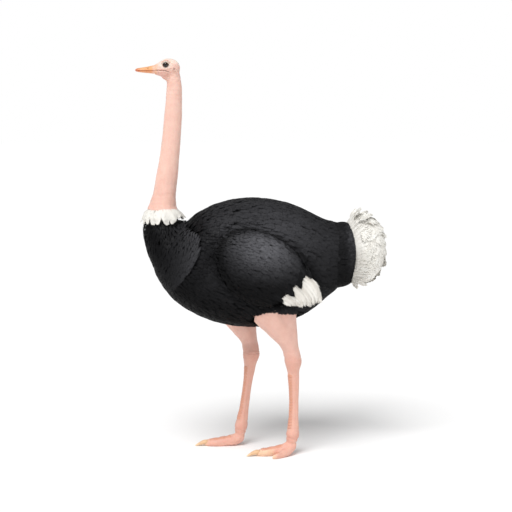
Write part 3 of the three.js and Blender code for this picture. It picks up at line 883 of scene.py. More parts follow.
def mark_coat(piece, places):
    """The masks that part bare skin from the skin under the black and the white plumage."""
    height, back = places[:, 2], places[:, 1]
    neck = fade(height, COLLAR_HIGH.z - 0.012, COLLAR_HIGH.z - 0.002) * fade(back, -0.36, -0.42)
    thigh_hem = hem_height(places)
    thigh = fade(height, thigh_hem + 0.018, thigh_hem + 0.008) * fade(np.abs(places[:, 0]), 0.04, 0.05)
    leg = np.maximum(thigh, fade(height, 0.72, 0.7))
    tail = fade(back - cuff_rim(height), -0.03, -0.016) * fade(back, 0.4, 0.43)
    hem = collar_hem(back)
    collar = fade(height, hem - 0.004, hem + 0.006) * fade(back, -0.4, -0.43)
    black = np.clip(1 - neck - leg - tail - collar, 0, 1)
    white = np.clip(np.maximum(collar - neck, tail), 0, 1) / np.maximum(1 - black, 0.001)
    no_skin = (black > 0.999) & ((back > 0.38) | (height > 1.25))
    write_values(piece, "under_black", black)
    write_values(piece, "under_white", np.where(no_skin, 1.0, np.clip(white, 0, 1)))
    write_values(piece, "leg", leg)
    write_values(piece, "low_leg", fade(height, 0.6, 0.5))
    return leg


def toe_tips(places, side):
    """1 at the fronts of the toes."""
    tips = np.zeros(len(places))
    for mark, sign in SIDES:
        for toe in ("toe_inner_", "toe_outer_"):
            low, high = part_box(toe + mark)
            inside = (side == sign) & (places[:, 0] > low.x - 0.004) & (places[:, 0] < high.x + 0.004)
            tips = np.maximum(tips, inside * fade(places[:, 1], low.y + 0.036, low.y + 0.004))
    return tips * fade(places[:, 2], 0.07, 0.05)


def mark_skin(piece):
    """The masks that the skin's material reads."""
    places = coordinates(piece)
    way = normals_of(piece)
    back, up, out = head_coordinates(places)
    height = places[:, 2]
    side = np.where(places[:, 0] > 0, 1.0, -1.0)
    head = fade(up, -0.05, -0.02)
    leg = mark_coat(piece, places)
    write_values(piece, "toe_tip", toe_tips(places, side))
    lid, brow = np.zeros(len(places)), np.zeros(len(places))
    for _mark, sign in SIDES:
        _way, _distance, share, rise, near = round_eye(places, sign)
        mine = near & (side == sign)
        lid += mine * hump(share, 1.08, 0.1)
        # The brow band is painted shade round the eye: it takes paleness from the crown and adds redness.
        brow += mine * hump(share, 1.55, 0.26) * (0.35 + 0.65 * fade(rise, 0.0, 0.01))
    write_values(piece, "crown", np.clip(head * fade(up, 0.02, 0.055) + 0.8 * lid - 0.5 * brow, 0, 1))
    # Painted shade on the throat where it faces down under the head, and round the brows. Round the hock, the
    # ankle and on the lower neck the skin is redder itself.
    throat = fade(-way[:, 2], 0.1, 0.8) * fade(height, GAPE_Z - 0.1, GAPE_Z - 0.03)
    blush = 0.42 * throat + 0.62 * brow + 0.22 * hump(height, HOCK_Z, 0.05)
    blush += 0.25 * hump(height, 0.105, 0.025) + 0.16 * fade(height, 1.65, 1.45) * (1 - leg)
    write_values(piece, "blush", np.clip(blush, 0, 0.85))
    # Painted shade in the ear opening. The line of the closed mouth is dark skin, and partly painted shade in
    # its crease.
    ear = hump(np.hypot(back - EAR_BACK, (up - EAR_UP) * 0.8), 0.0, 0.0048) * fade(out, 0.02, 0.03)
    line = hump(up - gape_height(back), 0.0, 0.0015) * fade(back, 0.187, 0.176) * fade(out, 0.016, 0.026)
    write_values(piece, "gape", np.clip(0.9 * line + 0.6 * ear, 0, 1))
    write_values(piece, "horny", 0.85 * fade(back, 0.126, 0.1) * head)


# ------------------------------------------------------------------ plumes


def outline_at(t, widest):
    """Half width of a plume's outline along its length, 1 at its widest."""
    rise = min(1.0, (t + 0.03) / widest) ** 0.7
    fall = max(0.0, 1.0 - max(0.0, t - widest) / (1.06 - widest)) ** 0.55
    return rise * fall


def plume_pattern(draw, barbs, widest, blade_share, sweep, ragged, bend=0.06, droop=0.16):
    """One plume as places along (0 to 1), across (in half widths) and up, with its faces.

    A narrow blade carries clumps of barbs on both sides, each a tapering strip that leans towards the tip.
    """
    places, faces = [], []
    blades = 4
    for i in range(blades + 1):
        t = 0.94 * i / blades
        half = blade_share * outline_at(t, widest) * (1 - 0.6 * (i == blades))
        places += [(t, -half, 0.0), (t, half, 0.0)]
        if i:
            a = 2 * (i - 1)
            faces.append((a, a + 1, a + 3, a + 2))
    half = 0.55 / barbs
    for side in (-1, 1):
        for k in range(barbs):
            t0 = 0.03 + 0.87 * (k + draw.uniform(-0.3, 0.3)) / (barbs - 1)
            t1 = min(t0 + sweep * draw.uniform(0.8, 1.25) * (1.15 - 0.5 * t0), 1.0)
            start = 0.5 * blade_share * outline_at(t0, widest)
            reach = outline_at(t1, widest) * draw.uniform(1 - ragged, 1.0)
            lift = draw.uniform(-bend, bend)
            a = len(places)
            for share in (0.0, 0.5):
                t = t0 + (t1 - t0) * share**1.3
                s = side * (start + (reach - start) * share)
                h = lift * share - droop * share * share
                width = half * (1.0 - 0.3 * share)
                places += [(t - width, s, h), (t + width, s, h)]
            places.append((t1, side * reach, lift - 1.2 * droop))
            strip = [(a, a + 2, a + 3, a + 1), (a + 2, a + 4, a + 3)]
            faces += strip if side > 0 else [face[::-1] for face in strip]
    for s in (-0.3, 0.05, 0.34):  # the last barbs, at the very tip
        a = len(places)
        places += [(0.84, s - 0.13, 0.0), (0.84, s + 0.13, 0.0), (1.0 - 0.12 * abs(s), s * 1.35, -0.08)]
        faces.append((a, a + 1, a + 2))
    return np.clip(np.array(places), (0.0, -1.2, -1.0), (1.0, 1.2, 1.0)), faces


def feather_patterns(seed, kinds=5, **shape):
    """A few different plumes of one make."""
    draw = np.random.RandomState(seed)
    return [plume_pattern(draw, **shape) for _ in range(kinds)]


class Spines:
    """The middle lines of many plumes, with the outward direction at each of their points."""

    PARTS = ("lines", "ups", "half_widths", "shades", "roots")

    def __init__(self, *columns):
        for part, column in zip(self.PARTS, columns):
            setattr(self, part, np.asarray(column))

    def __len__(self):
        return len(self.lines)

    def only(self, chosen):
        """Some of them."""
        return Spines(*[getattr(self, part)[chosen] for part in self.PARTS])

    @classmethod
    def together(cls, many):
        """All the plumes of several sets."""
        return cls(*[np.concatenate([getattr(spines, part) for spines in many]) for part in cls.PARTS])

    @classmethod
    def of_rows(cls, rows):
        """From one line, outward directions, half width, shade and root on the bake map for every plume."""
        return cls(*zip(*rows))


PATCH = 0.003  # size of one plume on the bake map


def plume_piece(name, spines, patterns, draw, slot, *nodes, material):
    """A finished piece of joined plumes: every spine carries one of the patterns."""
    count = spines.lines.shape[1]
    kind_of = draw.randint(0, len(patterns), len(spines))
    batches = []
    base = 0
    for kind, (pattern, faces) in enumerate(patterns):
        mine = np.nonzero(kind_of == kind)[0]
        if not len(mine):
            continue
        lines, ups = spines.lines[mine], spines.ups[mine]
        along = pattern[:, 0] * (count - 1)
        low = np.minimum(along.astype(int), count - 2)
        share = (along - low)[None, :, None]
        tangents = unit(np.gradient(lines, axis=1))
        centre = lines[:, low] * (1 - share) + lines[:, low + 1] * share
        ahead = unit(tangents[:, low] * (1 - share) + tangents[:, low + 1] * share)
        up = ups[:, low] * (1 - share) + ups[:, low + 1] * share
        up = unit(up - ahead * (up * ahead).sum(-1, keepdims=True))
        half = spines.half_widths[mine][:, None, None]
        across, raised = pattern[None, :, 1:2], pattern[None, :, 2:3]
        places = centre + np.cross(ahead, up) * across * half + up * raised * half
        on_map = np.stack([pattern[:, 1] * 0.5 + 0.5, pattern[:, 0]], axis=1) - 0.5
        number = len(pattern)
        starts = base + number * np.arange(len(mine))
        corners = np.concatenate([np.array(face) for face in faces])
        batches.append(
            (
                places.reshape(-1, 3),
                np.tile(pattern[:, 0], len(mine)),
                np.repeat(spines.shades[mine], number),
                (spines.roots[mine][:, None, :] + PATCH * on_map[None]).reshape(-1, 2),
                (starts[:, None] + corners[None]).ravel(),
                np.tile([len(face) for face in faces], len(mine)),
            )
        )
        base += number * len(mine)
    places, along, shade, on_map, corners, sizes = (np.concatenate(column) for column in zip(*batches))
    mesh = bpy.data.meshes.new(name)
    mesh.vertices.add(len(places))
    mesh.vertices.foreach_set("co", places.ravel())
    mesh.loops.add(len(corners))
    mesh.loops.foreach_set("vertex_index", corners)
    mesh.polygons.add(len(sizes))
    mesh.polygons.foreach_set("loop_start", np.concatenate([[0], np.cumsum(sizes)[:-1]]))
    mesh.update(calc_edges=True)
    piece = add_piece(name, mesh)
    write_values(piece, "along", along)
    write_values(piece, "shade", shade)
    on_corners = np.clip(on_map[corners], 0.0, 1.0)
    mesh.uv_layers.new(name="OFBake").data.foreach_set("uv", on_corners.ravel())
    finish_piece(piece, slot, *nodes, material=material)


class Ground:
    """A smooth surface that plumes grow from and lie on."""

    def __init__(self, piece):
        piece.data.calc_loop_triangles()
        self.points = coordinates(piece)
        self.triangles = read_all(piece.data.loop_triangles, "vertices", 3, int)
        self.tree = BVHTree.FromPolygons(self.points.tolist(), self.triangles.tolist())

    def scatter(self, spacing, draw, wanted=None):
        """Evenly scattered points. Spacing is a number or a function of the place."""
        corners = self.points[self.triangles]
        cross = np.cross(corners[:, 1] - corners[:, 0], corners[:, 2] - corners[:, 0])
        area = np.linalg.norm(cross, axis=1) / 2
        gap_of = spacing if callable(spacing) else (lambda place: spacing)
        gaps = np.array([gap_of(place) for place in corners.mean(axis=1)])
        weights = area / gaps**2
        tries = int(weights.sum() * 2.6)
        chosen = draw.choice(len(area), tries, p=weights / weights.sum())
        r, s = draw.uniform(size=(2, tries))
        flip = r + s > 1
        r[flip], s[flip] = 1 - r[flip], 1 - s[flip]
        tri = corners[chosen]
        places = tri[:, 0] + r[:, None] * (tri[:, 1] - tri[:, 0]) + s[:, None] * (tri[:, 2] - tri[:, 0])
        ways = unit(cross[chosen])
        kept, kept_ways = [], []
        cell = float(gaps.max())
        grid = {}
        for place, way, gap in zip(places, ways, gaps[chosen]):
            if wanted is not None and not wanted(place, way):
                continue
            key = tuple((place // cell).astype(int))
            near = (
                grid.get((key[0] + i, key[1] + j, key[2] + k), ())
                for i in (-1, 0, 1)
                for j in (-1, 0, 1)
                for k in (-1, 0, 1)
            )
            least = (0.72 * gap) ** 2
            if any(((place - other) ** 2).sum() < least for cell_points in near for other in cell_points):
                continue
            grid.setdefault(key, []).append(place)
            kept.append(place)
            kept_ways.append(way)
        return np.array(kept), np.array(kept_ways)

    def gap(self, place):
        """Distance from the surface to a place, negative inside."""
        nearest, way, _index, distance = self.tree.find_nearest(Vector(place))
        return -distance if (Vector(place) - nearest).dot(way) < 0 else distance


def ground_on(piece):
    """The surface of a piece that isn't kept itself."""
    ground = Ground(piece)
    bpy.data.objects.remove(piece)
    return ground


def ground_of(nodes, grain, smoothing):
    """The joined and smoothed surface of some CAD nodes."""
    return ground_on(remeshed(join([copy_of(node) for node in nodes], "ground"), grain, smoothing))


def clamp(value):
    """The value, or the nearer end of 0 to 1 where it lies outside."""
    return max(0.0, min(1.0, value))


def walk(ground, place, up, flow, turn, step, steps, stop):
    """Places and outward directions along a surface, each a step ahead of the last.

    Where the surface turns away sharply the walk goes straight on, and it ends early where it is stopped.
    """
    walked = [(place, up)]
    for _ in range(steps):
        ahead = flow(place)
        ahead -= up * ahead.dot(up)
        ahead.normalize()
        ahead = ahead * math.cos(turn) + up.cross(ahead) * math.sin(turn)
        target = place + ahead * step
        nearest, near_way, _index, distance = ground.tree.find_nearest(target)
        if near_way.dot(up) > 0.55 and distance < 0.7 * step:
            place, up = nearest, (up + near_way).normalized()
        else:
            place = target
        if stop is not None and stop(place):
            break
        walked.append((place, up))
    return walked


def comb(
    ground, gap, wanted, flow, length_of, width_share, depth, draw, unwrap,
    steps=6, wander=9.0, proud=0.0, stop=None, loose=0.002, tone=None,
):
    """Spines that rise from the skin where they are wanted and lie along the surface in the way of flow.

    Gap is between their roots, which are at the coat's depth under the surface. Wander is how far they turn
    aside, in degrees. Proud lifts them off the surface, loose lets their tips sink in, stop ends them, and
    tone gives their shade.
    """
    proud_of = proud if callable(proud) else (lambda place: proud)
    rows = []
    for root, way in zip(*ground.scatter(gap, draw, wanted)):
        place, up = Vector(root), Vector(way)
        length = length_of(place) * draw.uniform(0.85, 1.15)
        turn = math.radians(draw.normal(0.0, wander))
        tip_depth = draw.uniform(-loose, 0.0)
        buried = min(depth, 0.45 * length)
        shade = draw.uniform()
        if tone is not None:
            shade = tone(place, up) * (0.9 + 0.2 * shade)
        walked = walk(ground, place, up, flow, turn, length / steps, steps, stop)
        if len(walked) < 3:
            continue
        line, ups = [], []
        for k, (place, up) in enumerate(walked):
            line.append(place + up * (tip_depth + proud_of(place) - buried * (1 - k / steps) ** 3))
            ups.append(up)
        if len(line) <= steps:
            line, ups = stretch(line, ups, steps + 1)
        half = length * width_share * draw.uniform(0.85, 1.15)
        rows.append(([p[:] for p in line], [u[:] for u in ups], half, shade, unwrap(root)))
    return Spines.of_rows(rows)


def stretch(line, ups, count):
    """The same line with another number of points."""
    old = np.linspace(0, 1, len(line))
    new = np.linspace(0, 1, count)
    points = np.array([p[:] for p in line])
    ways = np.array([u[:] for u in ups])
    columns = [np.interp(new, old, points[:, c]) for c in range(3)]
    way_columns = [np.interp(new, old, ways[:, c]) for c in range(3)]
    return [Vector(p) for p in zip(*columns)], [Vector(w) for w in zip(*way_columns)]


def bent_line(root, control, tip, steps=6):
    """Points along a curve that leaves the root towards the control point and ends at the tip."""
    t = np.linspace(0.0, 1.0, steps + 1)[:, None]
    return (1 - t) ** 2 * np.array(root) + 2 * t * (1 - t) * np.array(control) + t * t * np.array(tip)


def on_strip(share, sideways, ahead):
    """Place on the bake map from a share of the length, and the turn round the axis."""
    turn = math.atan2(sideways, ahead) / (2 * math.pi) + 0.5
    return (0.01 + 0.98 * min(max(share, 0.0), 1.0), 0.01 + 0.98 * turn)


def around_y(low, high, centre_z):
    """Unwrap of a part that lies along Y."""
    return lambda place: on_strip((place[1] - low) / (high - low), place[0], place[2] - centre_z)


def around_z(low, high, centre_x, centre_y):
    """Unwrap of a part that stands along Z."""
    return lambda place: on_strip((place[2] - low) / (high - low), place[0] - centre_x, place[1] - centre_y)


# ------------------------------------------------------------------ operators: bare parts


class OSTRICH_OT_skin(bpy.types.Operator):
    """One skin over trunk, neck, head, legs and toes, inside the plumage by its depth"""

    bl_idname = "ostrich.skin"
    bl_label = "Skin"

    def execute(self, context):
        sizes, colours = settings_of(context)
        core = under_plumage(sizes)
        bare = [bare_neck(sizes)] + [bare_leg(mark, side, sizes) for mark, side in SIDES]
        for part in bare:
            apply_modifier(core, "BOOLEAN", operation="UNION", solver="MANIFOLD", object=part)
            bpy.data.objects.remove(part)
        core.name = "skin"
        for group in list(core.vertex_groups):
            core.vertex_groups.remove(group)
        mark_skin(core)
        nodes = ["trunk", "neck_base", "neck_lower", "neck_upper", "head"]
        nodes += [part + "_" + mark for mark, _side in SIDES for part in LEG_PARTS]
        finish_piece(core, "skin", *nodes, material=skin_material(colours))
        return {"FINISHED"}


def thorn(root, ways, length, thickness, sides=3):
    """A tapered bristle, closed at both ends, along the given directions: its points and faces."""
    points, faces = [], []
    place = np.array(root, float)
    for k, way in enumerate(ways):
        way = unit(np.array(way, float))
        across = unit(np.cross(way, (0.13, 0.2, 0.97)))  # a slant that no bristle has
        over = np.cross(way, across)
        half = thickness * (1 - 0.75 * k / len(ways)) / 2
        for i in range(sides):
            turn = 2 * math.pi * i / sides
            points.append(place + half * (math.cos(turn) * across + math.sin(turn) * over))
        place = place + way * length / len(ways)
    points.append(place)
    faces.append(tuple(range(sides)))
    for k in range(len(ways)):
        for i in range(sides):
            a, b = sides * k + i, sides * k + (i + 1) % sides
            faces.append((a, a + sides, b + sides, b) if k < len(ways) - 1 else (a, len(points) - 1, b))
    return points, faces


def joined_mesh(name, parts):
    """One object from many small shapes, each its points and faces."""
    points, faces = [], []
    for part_points, part_faces in parts:
        base = len(points)
        points += [tuple(point) for point in part_points]
        faces += [tuple(base + corner for corner in face) for face in part_faces]
    mesh = bpy.data.meshes.new(name)
    mesh.from_pydata(points, [], faces)
    mesh.update()
    return edit_all(add_piece(name, mesh), bpy.ops.mesh.normals_make_consistent, inside=False)


def lashes(side, sizes, draw):
    """Bristles along the rims of both lids: long and curved up above, short and curved down below."""
    centre, outward, rearward, upward = eye_frame(side)
    power = 2 / EYE_OPENING["roundness"]
    parts = []
    for above, count, share in ((1.0, 36, 1.0), (-1.0, 18, 0.42)):
        for i in range(count):
            angle = math.radians(14 + 152 * (i + draw.uniform(-0.6, 0.6)) / (count - 1))
            lean = draw.normal(0.0, 0.14) * rearward
            back = EYE_OPENING["half_width"] * math.copysign(abs(math.cos(angle)) ** power, math.cos(angle))
            up = above * EYE_OPENING["half_height"] * max(math.sin(angle), 0.0) ** power
            back, up = 1.06 * back / EYE_RADIUS, 1.06 * up / EYE_RADIUS
            way = rearward * back + upward * up + outward * math.sqrt(1 - back * back - up * up)
            root = centre + way * (EYE_RADIUS + 0.4 * sizes.lid_thickness)
            start = outward + 0.3 * above * upward + 0.7 * back * rearward + lean
            end = 0.55 * outward + 1.0 * above * upward + (1.0 * back + 0.25) * rearward + lean
            ways = [start * (1 - t) + end * t for t in (0.0, 0.33, 0.66, 1.0)]
            length = sizes.lash_length * share * (0.55 + 0.45 * math.sin(angle)) * draw.uniform(0.75, 1.1)
            parts.append(thorn(root, ways, length, 0.00075))
    return parts


class OSTRICH_OT_eyes(bpy.types.Operator):
    """Eyeballs, and the lashes along the rims of their lids"""

    bl_idname = "ostrich.eyes"
    bl_label = "Eyes"

    def execute(self, context):
        sizes, colours = settings_of(context)
        draw = np.random.RandomState(sizes.seed + 80)
        material = eye_material(colours)
        for mark, side in SIDES:
            centre, outward, _rearward, _upward = eye_frame(side)
            turn = Vector((0, 0, 1)).rotation_difference(Vector(outward)).to_euler()
            deselect()
            bpy.ops.mesh.primitive_uv_sphere_add(
                segments=48, ring_count=32, radius=EYE_RADIUS - 0.0003, location=centre, rotation=turn
            )
            eye = bpy.context.object
            bpy.ops.object.transform_apply(location=True, rotation=True, scale=True)
            eye.name = "eye_ball_" + mark
            places = coordinates(eye)
            facing = ((places - centre) @ outward) / EYE_RADIUS
            cornea = 0.0012 * fade(facing, 0.86, 0.97)
            move_points(eye, places + outward * cornea[:, None])
            write_values(eye, "pupil", fade(facing, 0.9, 0.93))
            finish_piece(eye, "eye", "eye_" + mark, material=material)
        dark = plain_material("LashBristle", colours.lash, Roughness=0.5)
        for mark, side in SIDES:
            piece = joined_mesh("lashes_" + mark, lashes(side, sizes, draw))
            finish_piece(piece, "plumage_black", material=dark)
        return {"FINISHED"}


NOSTRIL = {"back": 0.069, "up": 0.0135, "half_length": 0.0068, "half_height": 0.0021, "rise": 0.18}


def slit_distance(back, up):
    """How far out from the nostril: 1 on its rim."""
    along = (back - NOSTRIL["back"]) / NOSTRIL["half_length"]
    across = (up - NOSTRIL["up"] - NOSTRIL["rise"] * (back - NOSTRIL["back"])) / NOSTRIL["half_height"]
    return np.hypot(along, across)


class OSTRICH_OT_bill(bpy.types.Operator):
    """Upper and lower bill with nostrils, the ridge and the nail at the tip"""

    bl_idname = "ostrich.bill"
    bl_label = "Bill"

    def execute(self, context):
        colours = context.scene.ostrich_colours
        material = horn_material("BillHorn", colours, colours.horn, colours.horn_tip, 0.34, (1.0, 0.12, 1.0))
        for name, side in (("bill_upper", 1.0), ("bill_lower", -1.0)):
            bill = remeshed(copy_of(name), 0.0012, 3)
            places = coordinates(bill)
            way = normals_of(bill)
            back, up, out = head_coordinates(places)
            push = np.zeros(len(places))
            nostril = slit_distance(back, up)
            beside = fade(out, 0.004, 0.009)
            if side > 0:
                above = fade(way[:, 2], 0.2, 0.6)
                push -= 0.0042 * fade(nostril, 1.0, 0.3) * beside
                push += 0.0009 * hump(nostril, 1.35, 0.3) * beside
                push -= 0.0011 * hump(out, 0.0125, 0.0022) * fade(back, 0.016, 0.03) * above
                push += 0.0012 * hump(out, 0.0, 0.006) * fade(way[:, 2], 0.3, 0.7)
                push -= 0.0009 * hump(back, 0.0245, 0.0014) * above * fade(out, 0.016, 0.012)
            lip = hump(up, side * 0.0022, 0.0016) * (1 - np.abs(way[:, 2]))
            push += 0.0005 * lip
            move_points(bill, places + way * push[:, None])
            tip = fade(back, 0.035, 0.004)
            rim = hump(up, 0.0, 0.0045) * fade(1 - np.abs(way[:, 2]), 0.2, 0.7)
            lower = 0.35 if side < 0 else 0.0
            write_values(bill, "edge", np.clip(0.75 * tip + 0.6 * rim + lower, 0, 1))
            write_values(bill, "fleshy", 0.75 * fade(back, 0.082, 0.106))
            # Painted shade in the nostrils.
            if side > 0:
                write_values(bill, "dark", 0.95 * (fade(nostril, 0.95, 0.6) * beside))
            bill.name = name + "_horn"
            finish_piece(bill, "horn", name, material=material)
        return {"FINISHED"}


class OSTRICH_OT_nails(bpy.types.Operator):
    """The broad nail of each inner toe"""

    bl_idname = "ostrich.nails"
    bl_label = "Nails"

    def execute(self, context):
        colours = context.scene.ostrich_colours
        material = horn_material("NailHorn", colours, colours.nail, colours.nail_tip, 0.36, (1.0, 0.2, 1.0))
        for mark, _side in SIDES:
            name = "claw_" + mark
            nail = remeshed(copy_of(name), 0.0014, 2)
            low, _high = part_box(name)
            places = coordinates(nail)
            write_values(nail, "edge", fade(places[:, 1], low.y + 0.03, low.y))
            nail.name = "nail_" + mark
            finish_piece(nail, "claw", name, material=material)
        return {"FINISHED"}


def scute(tree, centre, ahead, facing, length, spread, reach):
    """One horny plate across a limb: curved round it, tucked in above and lifted at its lower edge."""
    sideways = np.cross(ahead, facing)
    columns, rows = 8, 3
    points, faces = [], []
    for layer in range(2):
        for j in range(rows + 1):
            down = -0.12 + 1.2 * j / rows
            for i in range(columns + 1):
                across = 2 * i / columns - 1
                way = unit(facing * math.cos(across * spread) + sideways * math.sin(across * spread))
                middle = centre + ahead * length * (down - 0.18 * across * across)
                hit = tree.ray_cast(Vector(middle + way * reach), Vector(-way))[0]
                if hit is None or (hit - Vector(middle)).dot(Vector(way)) < 0:
                    return None
                rise = (0.0003 + 0.0021 * clamp(down)) * (1 - abs(across) ** 4) - 0.0014 * abs(across) ** 4
                points.append(np.array(hit[:]) + way * (rise - 0.0026 * layer))
    wide = columns + 1
    layer_size = wide * (rows + 1)
    grid = np.array(points[:layer_size]).reshape(rows + 1, wide, 3)
    if np.linalg.norm(np.diff(grid, axis=1), axis=-1).max() > 0.011:
        return None
    for j in range(rows):
        for i in range(columns):
            a = j * wide + i
            faces.append((a, a + 1, a + wide + 1, a + wide))
            b = a + layer_size
            faces.append((b, b + wide, b + wide + 1, b + 1))
    rim = list(range(columns)) + [j * wide + columns for j in range(rows)]
    rim += [rows * wide + i for i in range(columns, 0, -1)] + [j * wide for j in range(rows, 0, -1)]
    for a, b in zip(rim, rim[1:] + rim[:1]):
        faces.append((a, a + layer_size, b + layer_size, b))
    return points, faces


def scute_row(tree, stations, facing, length, spread, reach):
    """Overlapping plates along a limb's centre line."""
    steps = np.linalg.norm(np.diff(stations, axis=0), axis=1)
    travelled = np.concatenate([[0.0], np.cumsum(steps)])

    def station(distance):
        """The place on the line at a distance from its start."""
        return np.array([np.interp(distance, travelled, stations[:, axis]) for axis in range(3)])

    plates = []
    for start in np.arange(0.0, travelled[-1] - length, length):
        centre = station(start)
        ahead = unit(station(start + length) - centre)
        front = unit(facing - ahead * (facing @ ahead))
        plates.append(scute(tree, centre, ahead, front, length, spread, reach))
    return [plate for plate in plates if plate is not None]


# Rows of plates along the toes: part, hidden length of the toe, length of a plate, half its turn in degrees.
TOE_ROWS = (("toe_inner_", 0.085, 0.0125, 62.0), ("toe_outer_", 0.06, 0.011, 56.0))


class OSTRICH_OT_scutes(bpy.types.Operator):
    """Rows of horny plates down the front of the tarsus and along the toes"""

    bl_idname = "ostrich.scutes"
    bl_label = "Scutes"

    def execute(self, context):
        sizes, colours = settings_of(context)
        skin = bpy.data.objects["skin"]
        material = scute_material(colours)
        places = coordinates(skin)
        faces = [tuple(face.vertices) for face in skin.data.polygons]
        front, above = np.array([0.0, -1.0, 0.0]), np.array([0.0, 0.0, 1.0])

        def surface_of(name):
            """The skin round one part of the leg."""
            low, high = (np.array(corner[:]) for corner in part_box(name))
            inside = ((places > low - 0.012) & (places < high + 0.012)).all(axis=1)
            return BVHTree.FromPolygons(places.tolist(), [face for face in faces if inside[list(face)].all()])

        for mark, _side in SIDES:
            axis = leg_axis(mark)
            tarsus = axis[(axis[:, 2] > 0.125) & (axis[:, 2] < 0.5)][::-1]
            tree = surface_of("tarsus_" + mark)
            plates = scute_row(tree, tarsus, front, sizes.scute_height, math.radians(72.0), 0.06)
            for toe, hidden, length, spread in TOE_ROWS:
                low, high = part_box(toe + mark)
                line = centre_line(node_edges(toe + mark), 1, high.y - hidden, low.y + 0.006)
                line = line[line[:, 1].argsort()[::-1]]
                plates += scute_row(surface_of(toe + mark), line, above, length, math.radians(spread), 0.05)
            piece = joined_mesh("scutes_" + mark, plates)
            finish_piece(piece, "leg_skin", material=material)
        return {"FINISHED"}


# ------------------------------------------------------------------ operators: plumage


# Shape of the plumes of the body and the wings.
BLACK_PLUME = {
    "barbs": 10,
    "widest": 0.62,
    "blade_share": 0.6,
    "sweep": 0.3,
    "ragged": 0.18,
    "bend": 0.03,
    "droop": 0.1,
}
# The curved edge of the full breast on the bird's side: height, and how far back it reaches there.
BREAST_EDGE = (
    (0.93, -0.56),
    (0.98, -0.53),
    (1.05, -0.475),
    (1.12, -0.43),
    (1.205, -0.388),
    (1.28, -0.386),
    (1.325, -0.45),
)


def breast_edge_at(height):
    """How far back the breast reaches at a height."""
    return float(np.interp(height, *zip(*BREAST_EDGE)))


def before_breast_edge(place):
    """How far in front of the edge of the breast a place lies. Behind it the value is negative."""
    return breast_edge_at(place[2]) - place[1]


def painted_body_light(place, way):
    """Painted light and shade: palest on the shoulders of the back, a little darker on its top, darkest on the
    belly, and paler in the middle of the body than at its ends.
    """
    height = clamp(way.z / 1.1 + 0.72) - 0.6 * max(0.0, way.z - 0.55)
    middle = 0.38 + 0.62 * math.exp(-(((place.y + 0.05) / (0.25 if place.y > -0.05 else 0.4)) ** 2))
    return (0.006 + 0.4 * height * height) * middle


def breast_painted_shade(place, _way):
    """Painted shade: darkest in front and below."""
    beside = clamp(1 - before_breast_edge(place) / 0.24)
    return (0.03 + 0.36 * beside * beside) * (0.15 + 0.85 * clamp((place.z - 0.97) / 0.22))


def coat_end(place):
    """Where the coat of the trunk ends over the cuff, in soft scallops."""
    turn = math.atan2(place[0], place[2] - CUFF_MIDDLE_Z)
    return CUFF_START + 0.012 + 0.006 * math.sin(9 * turn + 2 * math.sin(3 * turn))


def body_flow(place):
    """Rearwards and down, and straight back before the tail."""
    level = clamp((place.y - 0.3) / 0.1)
    return Vector((0.0, 1.0, -0.42 * (1 - level)))


def breast_flow(place):
    """Down the breast, along its edge where that is near."""
    near = clamp(1 - before_breast_edge(place) / 0.1)
    reach = 0.03
    slope = (breast_edge_at(place.z + reach) - breast_edge_at(place.z - reach)) / (2 * reach)
    slope = max(-0.35, min(slope, 0.8))
    return Vector((0.0, -slope * near + 0.12 * (1 - near), -1.0))


